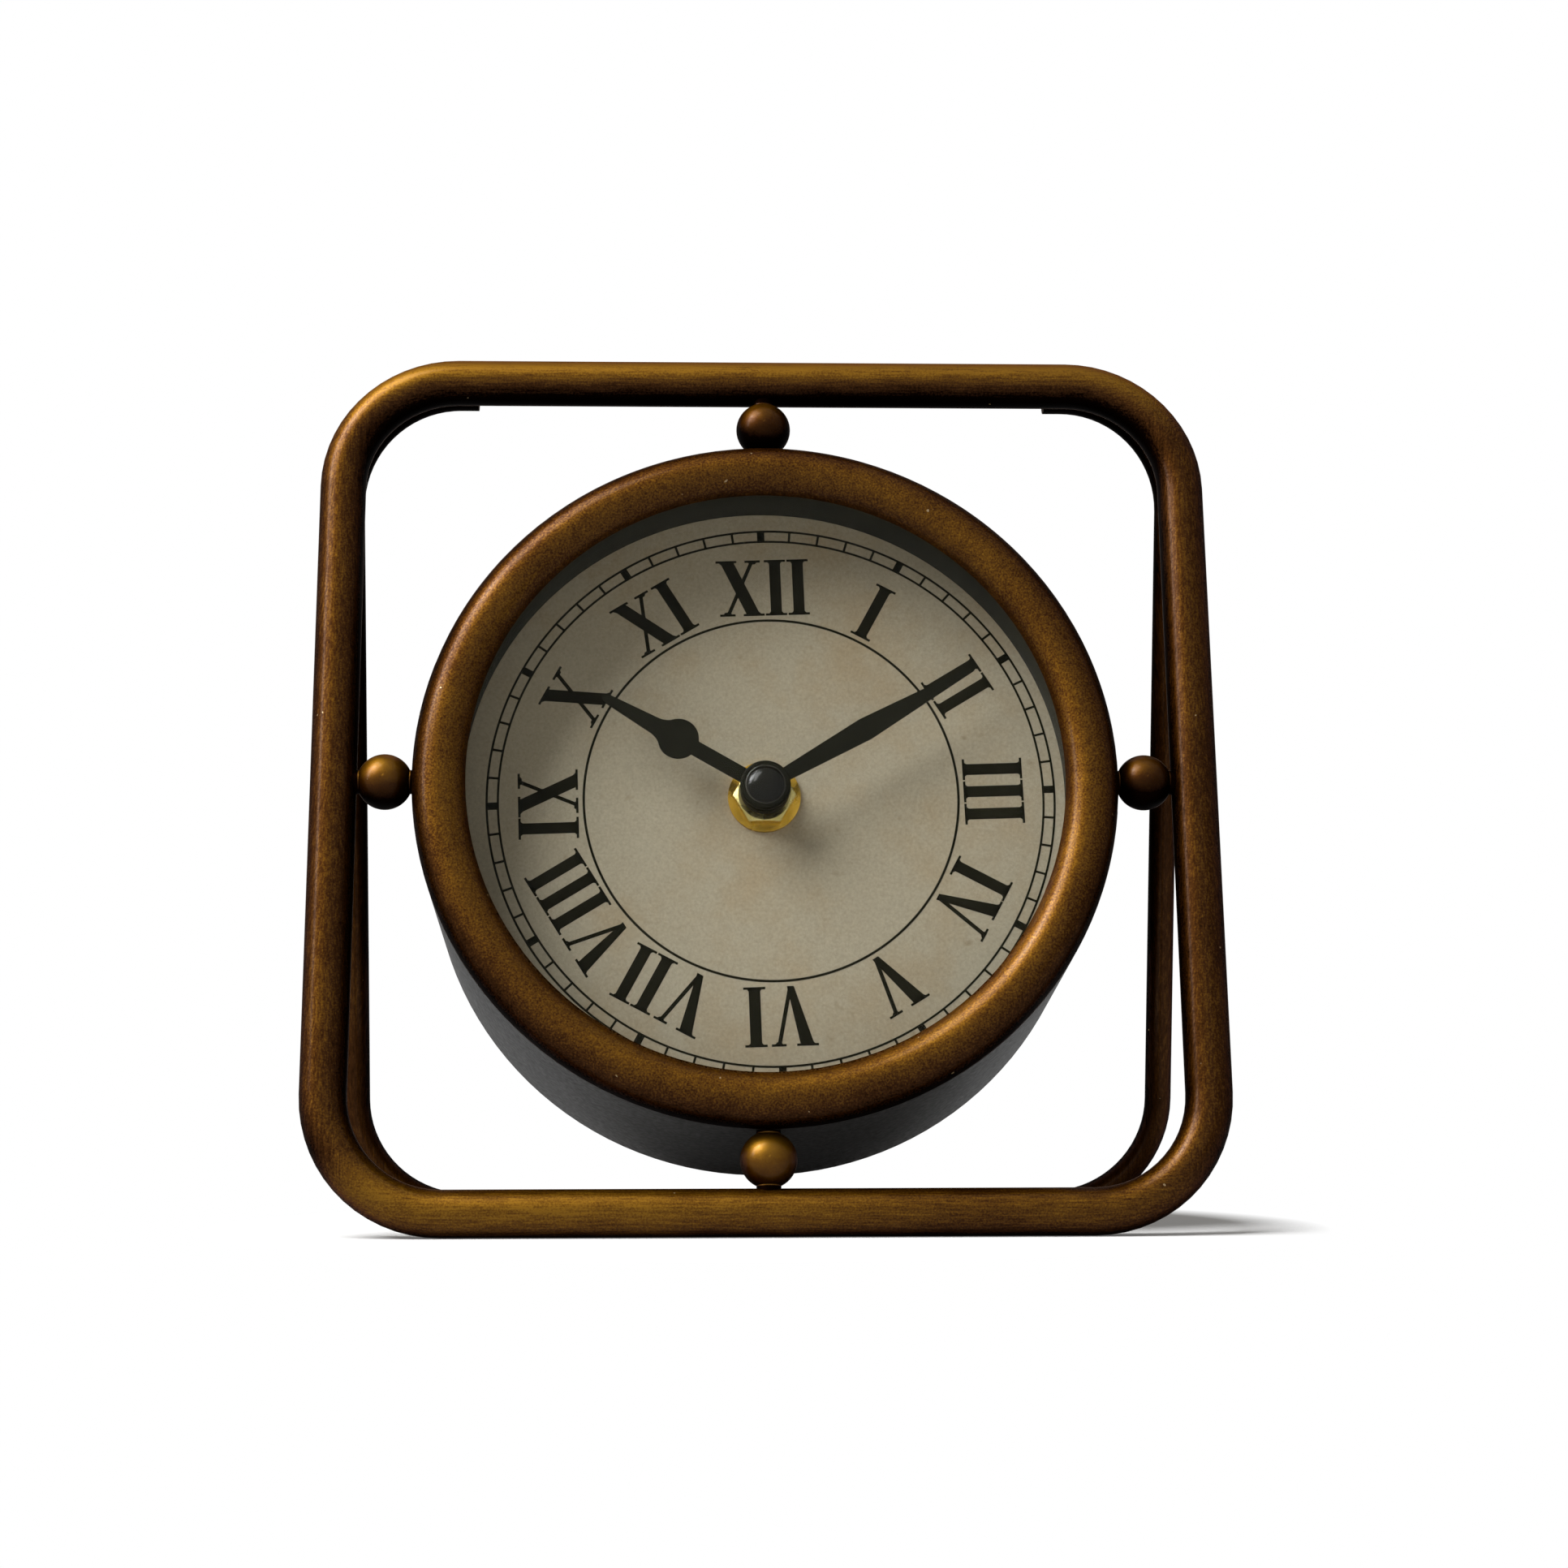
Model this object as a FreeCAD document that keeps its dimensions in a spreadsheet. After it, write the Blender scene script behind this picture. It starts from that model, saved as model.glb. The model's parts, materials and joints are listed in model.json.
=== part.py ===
import FreeCAD, Part
import math
import os
import Sketcher

os.makedirs("parts", exist_ok=True)
doc = FreeCAD.newDocument("table_clock")
sizes = doc.addObject("Spreadsheet::Sheet", "sizes")
vec = FreeCAD.Vector

# Driving sizes, in millimetres and degrees
driving = {
    # Front frame of bar, rear leg of rod, and the balls between frame and case
    "bar_dia": 10, "bend_radius": 25, "lean": 11, "ball_dia": 12, "ball_neck": 2.6,
    "rod_dia": 6, "foot_spread": 78, "leg_tail": 4, "leg_weld": 1.9, "weld_long": 6,
    # Case with its back, bezel and glass
    "case_radius": 76, "case_depth": 62, "sheet_thick": 1,
    "back_flange": 6, "back_corner": 3, "access_radius": 50, "access_lip": 3,
    "bezel_round": 6, "lip_turn": 69, "bezel_forward": 3, "seam_land": 0.3, "bezel_skirt": 8,
    "glass_thick": 1.6, "glass_lap": 8.1, "glass_gap": 3,
    # Dial and what it rests on
    "spacer_setback": 2, "spacer_thick": 2.2, "paper_thick": 0.3, "paper_inset": 2,
    "plate_thick": 1, "plate_play": 0.5, "seat_wide": 4, "seat_thick": 2,
    "gasket_thick": 1, "gasket_radius": 12,
    # Movement housing, its bush and what clamps it
    "movement_wall": 1.5, "movement_corner": 3,
    "bush_radius": 4, "bush_slack": 0.05, "bush_rise": 2.2,
    "washer_radius": 8, "washer_thick": 0.8, "nut_flats": 12, "nut_thick": 2.2, "nut_face": 5.8,
    # Hands and cap
    "hour_angle": 300.4, "hour_thick": 0.6, "hour_hub": 5.4, "hour_collet": 1.9, "hour_neck": 1.65,
    "hour_bulb": 4.5, "hour_bulb_at": 21.9, "hour_waist": 1.8, "hour_scoop": 6,
    "hour_length": 41, "hour_tip": 1,
    "minute_angle": 59.6, "minute_thick": 0.5, "minute_hub": 5.5, "minute_hub_thick": 1.4, "hub_round": 0.5,
    "minute_root": 1.25, "minute_wide": 2.55, "minute_wide_at": 25.4,
    "minute_length": 53.5, "minute_tip": 0.6,
    "cap_radius": 4.1, "cap_height": 2, "cap_flat": 0.4, "cap_bore": 1.2,
    # Arbors and gears
    "arbor_radius": 1.6, "pipe_radius": 2.5, "pipe_end": 0.4,
    "running_fit": 0.05, "side_play": 0.6, "end_gap": 0.1,
    "gear_module": 0.5, "cannon_teeth": 10, "pinion_teeth": 8, "backlash": 0.1,
    "tooth_gap": 0.12, "wheel_thick": 1.2, "arbor_tail": 2.4,
    "stem_radius": 1.5, "pivot_radius": 0.8, "pivot_long": 0.7,
    "knob_radius": 8, "knob_thick": 5, "knob_gap": 0.5, "grip_radius": 0.7, "grip_count": 24,
    # Cell and its contacts
    "cell_dia": 14.5, "cell_length": 50.5, "cell_gap": 0.35, "nub_radius": 2.75, "nub_long": 1.2,
    "divider": 1.2, "contact_thick": 0.4, "contact_gap": 0.2, "leaf_wide": 9, "leaf_tall": 11,
    "spring_long": 0.65, "spring_radius": 4, "plus_tip": 3, "minus_tip": 2.2,
    # Motor, coil and circuit board
    "module_wide": 26, "module_thick": 7.7, "module_gap": 0.9,
    "coil_inset": 5, "coil_long": 30, "coil_radius": 3.8, "core_wide": 3, "core_thick": 1.4,
    "bobbin_wall": 1, "flange_thick": 1.2, "flange_rim": 0.3, "arm_gap": 0.4, "foot_low": 1,
    "board_wide": 5.5, "board_long": 26.5, "board_thick": 1, "board_post": 2.6, "board_gap": 0.5,
    "post_radius": 1.5, "post_inset": 4, "chip_radius": 2.2, "chip_thick": 1, "chip_up": 8.5,
    "crystal_radius": 1, "crystal_long": 6, "crystal_up": 21.5,
}

# Sizes worked out from those. A name in _z is a height above the frame's middle plane, to the front.
derived = {
    "bar_radius": "bar_dia / 2",
    "rod_radius": "rod_dia / 2",
    "ball_radius": "ball_dia / 2",
    "frame_half": "case_radius + ball_dia + bar_radius",
    "frame_span": "2 * frame_half",
    "frame_inner": "frame_half - bend_radius",
    "case_tilt": "90 - lean",
    "bezel_z": "bezel_forward",
    "seam_z": "bezel_z - seam_land",
    "case_back_z": "bezel_z - case_depth",
    "case_far": "(frame_half + case_radius) * sin(lean) - case_back_z * cos(lean)",
    "shift_y": "(bar_radius - case_far) / 2",
    "case_y": "frame_half * sin(lean) + shift_y",
    "case_up": "bar_radius + frame_half * cos(lean)",
    "top_bar_y": "frame_span * sin(lean) + shift_y",
    "top_bar_up": "bar_radius + frame_span * cos(lean)",
    "leg_behind": "bar_radius + rod_radius",
    "leg_top_y": "top_bar_y + leg_behind * cos(lean)",
    "leg_top_up": "top_bar_up - leg_behind * sin(lean)",
    "leg_y": "foot_spread + shift_y",
    "leg_rise": "leg_top_up - rod_radius",
    "leg_run": "sqrt((leg_y - leg_top_y) ^ 2 + leg_rise ^ 2)",
    "leg_tilt": "90 + atan((leg_y - leg_top_y) / leg_rise) / (1 deg)",
    "leg_end": "frame_inner - leg_tail",
    "weld_out": "leg_end + weld_long",
    "weld_rise": "0.87 * rod_radius",
    "weld_behind": "leg_behind - 0.8 * rod_radius",
    "weld_y": "top_bar_y + weld_rise * sin(lean) + weld_behind * cos(lean)",
    "weld_up": "top_bar_up + weld_rise * cos(lean) - weld_behind * sin(lean)",
    "ball_at": "case_radius + ball_radius",
    "neck_from": "case_radius - ball_radius / 2",
    "neck_long": "3 * ball_radius",
    "case_inner": "case_radius - sheet_thick",
    "back_inner": "case_inner - sheet_thick",
    "back_floor_z": "case_back_z + sheet_thick",
    "back_flange_z": "case_back_z + back_flange",
    "access_outer": "access_radius + sheet_thick",
    "access_lip_z": "back_floor_z + access_lip",
    "bezel_mid": "case_radius - bezel_round",
    "bezel_hollow": "bezel_round - sheet_thick",
    "bezel_inner": "bezel_mid - bezel_round * sin(lip_turn)",
    "lip_z": "bezel_z + bezel_round * cos(lip_turn)",
    "lip_outer": "bezel_mid - sqrt(bezel_hollow ^ 2 - (lip_z - bezel_z) ^ 2)",
    "skirt_inner": "case_inner - sheet_thick",
    "skirt_z": "bezel_z - bezel_skirt",
    "skirt_top_z": "bezel_z + sqrt(bezel_hollow ^ 2 - (skirt_inner - bezel_mid) ^ 2)",
    "glass_radius": "bezel_inner + glass_lap",
    "glass_back_z": "lip_z - glass_thick",
    "cap_top_z": "glass_back_z - glass_gap",
    "cap_z": "cap_top_z - cap_height",
    "cap_rim_z": "cap_z + cap_flat",
    "dome_high": "cap_height - cap_flat",
    "dome_radius": "(cap_radius ^ 2 + dome_high ^ 2) / (2 * dome_high)",
    "arbor_z": "cap_z + cap_bore",
    "minute_z": "cap_z - minute_hub_thick",
    "minute_top_z": "minute_z + minute_thick",
    "pipe_z": "minute_z - side_play",
    "hour_top_z": "pipe_z - pipe_end",
    "hour_blade_z": "hour_top_z - hour_thick",
    "hour_z": "hour_blade_z - hour_collet",
    "bush_z": "hour_z - side_play",
    "nut_z": "bush_z - bush_rise",
    "washer_z": "nut_z - nut_thick",
    "dial_z": "washer_z - washer_thick",
    "plate_z": "dial_z - paper_thick",
    "plate_back_z": "plate_z - plate_thick",
    "seat_back_z": "plate_back_z - seat_thick",
    "housing_z": "plate_back_z - gasket_thick",
    "spacer_inner": "bezel_inner + spacer_setback",
    "spacer_outer": "spacer_inner + spacer_thick",
    "plate_radius": "skirt_inner - plate_play",
    "paper_radius": "plate_radius - paper_inset",
    "seat_inner": "case_inner - seat_wide",
    "nut_corner": "nut_flats / sqrt(3)",
    "nut_skirt": "nut_face + nut_thick * sqrt(3)",
    "hour_flare_at": "hour_bulb_at + hour_bulb / 2",
    "hour_flare": "hour_bulb * sqrt(3) / 2",
    "hour_waist_at": "hour_bulb_at + 1.5 * hour_bulb",
    "hour_tip_at": "hour_length - hour_tip",
    "minute_tip_at": "minute_length - minute_tip",
    "movement_deep": "movement_wall + 2 * cell_gap + cell_dia",
    "cell_radius": "cell_dia / 2",
    "cell_half": "cell_length / 2",
    "contact_in": "cell_half + contact_gap + spring_long",
    "housing_inner": "contact_in + contact_thick",
    "housing_half": "housing_inner + movement_wall",
    "movement_side": "2 * housing_half",
    "housing_back_z": "housing_z - movement_deep",
    "floor_z": "housing_z - movement_wall",
    "cover_z": "housing_back_z + movement_wall",
    "bush_clear": "bush_radius + bush_slack",
    "bush_bore": "pipe_radius + running_fit",
    "pipe_bore": "arbor_radius + running_fit",
    "pivot_bore": "pivot_radius + running_fit",
    "stem_bore": "stem_radius + running_fit",
    "cannon_count": "round(cannon_teeth)",
    "transfer_count": "3 * cannon_count",
    "pinion_count": "round(pinion_teeth)",
    "hour_count": "4 * pinion_count",
    "wheel_gap": "gear_module * (cannon_count + transfer_count) / 2",
    "pinion_module": "2 * wheel_gap / (pinion_count + hour_count)",
    "stem_y": "case_y + wheel_gap * sin(lean)",
    "stem_up": "case_up + wheel_gap * cos(lean)",
    "hour_wheel_z": "floor_z - side_play",
    "hour_wheel_back_z": "hour_wheel_z - wheel_thick",
    "pinion_z": "hour_wheel_z + side_play / 2",
    "pivot_z": "floor_z + pivot_long",
    "pivot_seat_z": "pivot_z + end_gap",
    "transfer_z": "hour_wheel_back_z - 2.4 * side_play",
    "transfer_back_z": "transfer_z - wheel_thick",
    "cannon_z": "transfer_z + side_play / 2",
    "cannon_back_z": "transfer_back_z - side_play / 2",
    "module_z": "cannon_back_z - 1.5 * side_play",
    "module_back_z": "module_z - module_thick",
    "arbor_back_z": "module_z - arbor_tail",
    "arbor_seat_z": "arbor_back_z - side_play",
    "knob_z": "housing_back_z - knob_gap",
    "knob_back_z": "knob_z - knob_thick",
    "cell_y": "2 * cell_gap + cell_radius - housing_inner",
    "cell_z": "floor_z - cell_gap - cell_radius",
    "can_long": "cell_length - nub_long",
    "nub_from": "cell_half - nub_long",
    "divider_low": "cell_y + cell_radius + cell_gap",
    "divider_high": "divider_low + divider",
    "leaf_low": "cell_y - leaf_wide / 2",
    "leaf_back_z": "cell_z - leaf_tall / 2",
    "module_half": "module_wide / 2",
    "module_low": "divider_high + module_gap",
    "module_high": "wheel_gap - stem_radius - module_gap",
    "module_post_x": "module_half - post_radius",
    "module_post_y": "module_low + post_radius",
    "coil_at": "housing_inner - coil_inset",
    "coil_half": "coil_long / 2",
    "coil_z": "module_z - module_thick / 2",
    "core_low": "coil_at - core_wide / 2",
    "core_high": "coil_at + core_wide / 2",
    "core_z": "coil_z + core_thick / 2",
    "core_back_z": "coil_z - core_thick / 2",
    "bobbin_low": "core_low - bobbin_wall",
    "bobbin_high": "core_high + bobbin_wall",
    "bobbin_wide": "bobbin_high - bobbin_low",
    "bobbin_z": "core_z + bobbin_wall",
    "bobbin_back_z": "core_back_z - bobbin_wall",
    "bobbin_thick": "bobbin_z - bobbin_back_z",
    "flange_end": "coil_half + flange_thick",
    "flange_low": "coil_at - coil_radius - flange_rim",
    "flange_high": "coil_at + coil_radius + flange_rim",
    "flange_z": "coil_z + coil_radius + flange_rim",
    "flange_back_z": "coil_z - coil_radius - flange_rim",
    "arm_in": "flange_end + arm_gap",
    "arm_out": "arm_in + core_wide",
    "foot_high": "foot_low + core_wide",
    "board_out": "housing_inner - board_gap",
    "board_in": "board_out - board_wide",
    "board_mid": "board_out - board_wide / 2",
    "board_low": "divider_high + board_gap",
    "board_high": "board_low + board_long",
    "board_z": "floor_z - board_post",
    "board_back_z": "board_z - board_thick",
    "post_low": "board_low + post_inset",
    "post_high": "board_high - post_inset",
    "chip_y": "board_low + chip_up",
    "chip_back_z": "board_back_z - chip_thick",
    "crystal_y": "board_low + crystal_up",
    "crystal_z": "board_back_z - crystal_radius",
}

cells = {name: str(size) for name, size in driving.items()}
cells.update((name, "=" + formula) for name, formula in derived.items())
for row, (name, content) in enumerate(cells.items(), 1):
    sizes.set(f"A{row}", content)
    sizes.setAlias(f"A{row}", name)
doc.recompute()


def number(word):
    """A size by its name, with an optional minus sign, or zero"""
    if word == 0:
        return 0.0
    return -number(word[1:]) if word.startswith("-") else float(sizes.get(word))


def link(word):
    """The same size as an expression"""
    if word == 0:
        return "0"
    return "-sizes." + word[1:] if word.startswith("-") else "sizes." + word


def stand(thing, y="case_y", up="case_up", tilt="case_tilt"):
    """Puts a piece into the leaning plane of the frame, unless another place is named"""
    turn = FreeCAD.Rotation(vec(1, 0, 0), number(tilt))
    thing.Placement = FreeCAD.Placement(vec(0, number(y), number(up)), turn)
    thing.setExpression("Placement.Base.y", link(y))
    thing.setExpression("Placement.Base.z", link(up))
    thing.setExpression("Placement.Rotation.Angle", link(tilt))
    return thing


def new_body(label, **place):
    body = doc.addObject("PartDesign::Body", label)
    return stand(body, **place)


def new_sketch(body, plane="XY_Plane", height=0, turn=0):
    """A sketch on one of the body's own planes, raised from it and turned in it"""
    sketch = body.newObject("Sketcher::SketchObject", body.Name + "_sketch")
    support = next(item for item in body.Origin.OriginFeatures if item.Role == plane)
    sketch.AttachmentSupport = [(support, "")]
    sketch.MapMode = "FlatFace"
    spin = FreeCAD.Rotation(vec(0, 0, 1), number(turn))
    sketch.AttachmentOffset = FreeCAD.Placement(vec(0, 0, number(height)), spin)
    sketch.setExpression("AttachmentOffset.Base.z", link(height))
    sketch.setExpression("AttachmentOffset.Rotation.Angle", link(turn))
    return sketch


def pin(sketch, geometry, end, x=None, y=None):
    """Holds a point of the sketch at named distances from its origin"""
    for kind, word in (("DistanceX", x), ("DistanceY", y)):
        if word is not None:
            rule = Sketcher.Constraint(kind, -1, 1, geometry, end, number(word))
            index = sketch.addConstraint(rule)
            sketch.setExpression(f"Constraints[{index}]", link(word))


def hold_radius(sketch, geometry, word):
    index = sketch.addConstraint(Sketcher.Constraint("Radius", geometry, number(word)))
    sketch.setExpression(f"Constraints[{index}]", link(word))


def outline(sketch, corners, arcs={}):
    """A closed outline through named corners. arcs gives the radius of each side that is round,
    by the number of the corner where it starts, with a minus sign where it is hollow."""
    points = [vec(number(x), number(y), 0) for x, y in corners]
    count = len(points)
    first = sketch.GeometryCount
    ends = []
    for i, start in enumerate(points):
        stop = points[(i + 1) % count]
        if i not in arcs:
            sketch.addGeometry(Part.LineSegment(start, stop))
            ends.append((1, 2))
            continue
        radius = number(arcs[i].lstrip("-"))
        chord = stop - start
        outward = vec(chord.y, -chord.x, 0).normalize()
        if arcs[i].startswith("-"):
            outward = -outward
        rise = radius - math.sqrt(max(0, radius ** 2 - chord.Length ** 2 / 4))
        sketch.addGeometry(Part.Arc(start, start + chord * 0.5 + outward * rise, stop))
        ends.append((2, 1) if arcs[i].startswith("-") else (1, 2))
    for i in range(count):
        after = (i + 1) % count
        joint = (first + i, ends[i][1], first + after, ends[after][0])
        sketch.addConstraint(Sketcher.Constraint("Coincident", *joint))
    for i, (x, y) in enumerate(corners):
        pin(sketch, first + i, ends[i][0], x, y)
    for i, word in arcs.items():
        hold_radius(sketch, first + i, word.lstrip("-"))


def ring(sketch, radius, x=0, y=0):
    """A circle of named radius"""
    middle = vec(number(x), number(y), 0)
    index = sketch.addGeometry(Part.Circle(middle, vec(0, 0, 1), number(radius)))
    pin(sketch, index, 3, x, y)
    hold_radius(sketch, index, radius)


def box(low_x, low_y, high_x, high_y):
    return [(low_x, low_y), (high_x, low_y), (high_x, high_y), (low_x, high_y)]


def feature(kind, body, sketch, low, high):
    """A pad upwards from the sketch's plane, or a pocket downwards from it"""
    made = body.newObject("PartDesign::" + kind, f"{body.Name}_{kind}")
    made.Profile = sketch
    made.setExpression("Length", f"{link(high)} - ({link(low)})")
    return made


def pad(body, corners, low, high):
    sketch = new_sketch(body, height=low)
    outline(sketch, corners)
    return feature("Pad", body, sketch, low, high)


def pocket(body, corners, high, low):
    sketch = new_sketch(body, height=high)
    outline(sketch, corners)
    return feature("Pocket", body, sketch, low, high)


def pad_round(body, radius, low, high, x=0, y=0, turn=0):
    sketch = new_sketch(body, height=low, turn=turn)
    ring(sketch, radius, x, y)
    return feature("Pad", body, sketch, low, high)


def pocket_round(body, radius, high, low, x=0, y=0):
    sketch = new_sketch(body, height=high)
    ring(sketch, radius, x, y)
    return feature("Pocket", body, sketch, low, high)


def turned(label, corners, arcs={}):
    """A piece turned about the clock's axis from its corners, each a radius and a height"""
    body = new_body(label)
    sketch = new_sketch(body, "XZ_Plane")
    outline(sketch, corners, arcs)
    made = body.newObject("PartDesign::Revolution", label + "_turned")
    made.Profile = sketch
    made.ReferenceAxis = (sketch, ["V_Axis"])
    made.Angle = 360
    return body


def flat_ring(label, inner, outer, low, high):
    return turned(label, box(inner, low, outer, high))


def round_edges(body, radius, chosen):
    """Rounds those edges of the body so far that pass the test"""
    doc.recompute()
    base = body.Tip
    names = [f"Edge{i}" for i, edge in enumerate(base.Shape.Edges, 1) if chosen(edge)]
    made = body.newObject("PartDesign::Fillet", body.Name + "_fillet")
    made.Base = (base, names)
    made.setExpression("Radius", link(radius))
    return made


def is_upright(edge):
    return isinstance(edge.Curve, Part.Line) and abs(edge.Curve.Direction.z) > 0.99


def is_circle(edge, radius, height):
    curve = edge.Curve
    if not isinstance(curve, Part.Circle):
        return False
    return abs(curve.Radius - number(radius)) < 1e-6 and abs(curve.Center.z - number(height)) < 1e-6


def bent_path(sketch, corners, radius, closed):
    """Straight runs along the sketch's axes, with a tangent bend at each corner"""
    points = [vec(number(x), number(y), 0) for x, y in corners]
    count = len(points)
    bends = range(count) if closed else range(1, count - 1)
    runs = count if closed else count - 1
    bend = number(radius)

    def towards(i, j):
        return (points[j % count] - points[i]).normalize()

    def leaving(i):
        return points[i] + towards(i, i + 1) * bend if i in bends else points[i]

    def reaching(i):
        return points[i] + towards(i, i - 1) * bend if i in bends else points[i]

    lines, arcs = [], {}
    for i in range(runs):
        corner = (i + 1) % count
        lines.append(sketch.addGeometry(Part.LineSegment(leaving(i), reaching(corner))))
        if corner in bends:
            inward = towards(corner, corner - 1) + towards(corner, corner + 1)
            middle = points[corner] + inward * (bend * (1 - math.sqrt(0.5)))
            arc = Part.Arc(reaching(corner), middle, leaving(corner))
            arcs[corner] = sketch.addGeometry(arc)
    for i, line in enumerate(lines):
        level = abs(towards(i, i + 1).y) < 1e-6
        sketch.addConstraint(Sketcher.Constraint("Horizontal" if level else "Vertical", line))
        pin(sketch, line, 1, None if level else corners[i][0], corners[i][1] if level else None)
    for corner, arc in arcs.items():
        turns_left = towards(corner, corner + 1).cross(towards(corner, corner - 1)).z > 0
        start, stop = (1, 2) if turns_left else (2, 1)
        sketch.addConstraint(Sketcher.Constraint("Tangent", lines[corner - 1], 2, arc, start))
        sketch.addConstraint(Sketcher.Constraint("Tangent", arc, stop, lines[corner], 1))
        hold_radius(sketch, arc, radius)
    if not closed:
        pin(sketch, lines[0], 1, corners[0][0])
        pin(sketch, lines[-1], 2, corners[-1][0])


def bent_bar(label, corners, radius, start, closed, **place):
    """Round stock swept along a bent path from its first section, which faces along x"""
    body = new_body(label, **place)
    path = new_sketch(body)
    bent_path(path, corners, "bend_radius", closed)
    section = new_sketch(body, "YZ_Plane", height=start[0])
    ring(section, radius, start[1])
    sweep = body.newObject("PartDesign::AdditivePipe", label + "_sweep")
    sweep.Profile = section
    sweep.Spine = path
    return body


def primitive(kind, name, base=(0, 0, 0), turn=None, **properties):
    """A Part primitive with its sizes and its place bound to the sheet"""
    thing = doc.addObject("Part::" + kind, name)
    if turn:
        thing.Placement.Rotation = FreeCAD.Rotation(vec(*turn[0]), turn[1])
    for axis, word in zip("xyz", base):
        thing.setExpression("Placement.Base." + axis, link(word))
    for key, word in properties.items():
        thing.setExpression(key, link(word))
    return thing


def fuse(name, shapes):
    thing = doc.addObject("Part::MultiFuse", name)
    thing.Shapes = shapes
    return thing


def subtract(name, base, tool):
    thing = doc.addObject("Part::Cut", name)
    thing.Base, thing.Tool = base, tool
    return thing


along_x = ((0, 1, 0), 90)
against_x = ((0, 1, 0), -90)
along_y = ((-1, 0, 0), 90)


# Front frame: a closed square of round bar
def make_front_frame():
    half = "frame_half"
    corners = box("-" + half, "-" + half, half, half)
    return bent_bar("front_frame", corners, "bar_radius", ("-frame_inner", "-frame_half"), True)


# Rear leg: an open loop of rod, its two ends welded behind the top bar
def make_rear_leg():
    tops = [("-leg_end", "leg_run"), ("-frame_half", "leg_run"), ("-frame_half", 0)]
    corners = tops + [(x.lstrip("-"), y) for x, y in reversed(tops)]
    place = {"y": "leg_y", "up": "rod_radius", "tilt": "leg_tilt"}
    rod = bent_bar("leg_rod", corners, "rod_radius", tops[0], False, **place)
    welds = []
    for side, start in (("left", "-weld_out"), ("right", "leg_end")):
        base = (start, "weld_y", "weld_up")
        welds.append(primitive("Cylinder", f"weld_{side}", base, along_x,
                               Radius="leg_weld", Height="weld_long"))
    base = ("-frame_half", "top_bar_y", "top_bar_up")
    top_bar = primitive("Cylinder", "top_bar", base, along_x, Radius="bar_radius", Height="frame_span")
    return subtract("rear_leg", fuse("leg_welded", [rod, *welds]), top_bar)


# Balls between case and frame, each with a weld neck trimmed to the case and to the bar
def make_ball(side, x, y):
    def outwards(word):
        return ["-" + word if part < 0 else word if part else 0 for part in (x, y, 0)]

    ball = primitive("Sphere", side + "_sphere", outwards("ball_at"), ((0, 0, 1), 45), Radius="ball_radius")
    neck = primitive("Cylinder", side + "_neck", outwards("neck_from"), ((-y, x, 0), 90),
                     Radius="ball_neck", Height="neck_long")
    drum = primitive("Cylinder", side + "_drum_space", (0, 0, "-ball_at"),
                     Radius="case_radius", Height="frame_span")
    middle = outwards("frame_half")
    start = ("-frame_half", middle[1], 0) if y else (middle[0], "-frame_half", 0)
    bar = primitive("Cylinder", side + "_bar_space", start, along_x if y else along_y,
                    Radius="bar_radius", Height="frame_span")
    whole = fuse(side + "_welded", [ball, neck])
    return stand(subtract("ball_" + side, whole, fuse(side + "_space", [drum, bar])))


# Case: a plain drum, closed behind by a pressed back with an access hole
def make_case_drum():
    return flat_ring("case_drum", "case_inner", "case_radius", "case_back_z", "seam_z")


def make_case_back():
    back = turned("case_back", [
        ("access_radius", "case_back_z"), ("case_inner", "case_back_z"), ("case_inner", "back_flange_z"),
        ("back_inner", "back_flange_z"), ("back_inner", "back_floor_z"), ("access_outer", "back_floor_z"),
        ("access_outer", "access_lip_z"), ("access_radius", "access_lip_z")])
    round_edges(back, "back_corner", lambda edge: is_circle(edge, "case_inner", "case_back_z"))
    return back


# Bezel: a pressed half-round ring, hollow behind, with a skirt inside the drum
def make_bezel():
    corners = [("lip_outer", "lip_z"), ("skirt_inner", "skirt_top_z"), ("skirt_inner", "skirt_z"),
               ("case_inner", "skirt_z"), ("case_inner", "seam_z"), ("case_radius", "seam_z"),
               ("case_radius", "bezel_z"), ("bezel_inner", "lip_z")]
    return turned("bezel", corners, {0: "-bezel_hollow", 6: "bezel_round"})


# Glass, spacer and dial, and the ring that the dial plate rests on
def make_dial():
    clear, low, high = "bush_clear", "plate_back_z", "plate_z"
    return [
        flat_ring("spacer_ring", "spacer_inner", "spacer_outer", "dial_z", "glass_back_z"),
        flat_ring("dial_paper", clear, "paper_radius", high, "dial_z"),
        flat_ring("dial_plate", clear, "plate_radius", low, high),
        flat_ring("seat_ring", "seat_inner", "case_inner", "seat_back_z", low),
        flat_ring("gasket", clear, "gasket_radius", "housing_z", low),
        flat_ring("brass_washer", clear, "washer_radius", "dial_z", "washer_z"),
        turned("glass", box(0, "glass_back_z", "glass_radius", "lip_z")),
    ]


# Hexagon nut with turned corners
def make_hex_nut():
    blank = primitive("Prism", "nut_blank", (0, 0, "washer_z"),
                      Circumradius="nut_corner", Height="nut_thick")
    blank.Polygon = 6
    cone = primitive("Cone", "nut_cone", (0, 0, "washer_z"),
                     Radius1="nut_skirt", Radius2="nut_face", Height="nut_thick")
    shaped = doc.addObject("Part::Common", "nut_shaped")
    shaped.Base, shaped.Tool = blank, cone
    bore = primitive("Cylinder", "nut_bore", (0, 0, "dial_z"), Radius="bush_radius", Height="movement_side")
    return stand(subtract("hex_nut", shaped, bore))


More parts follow.
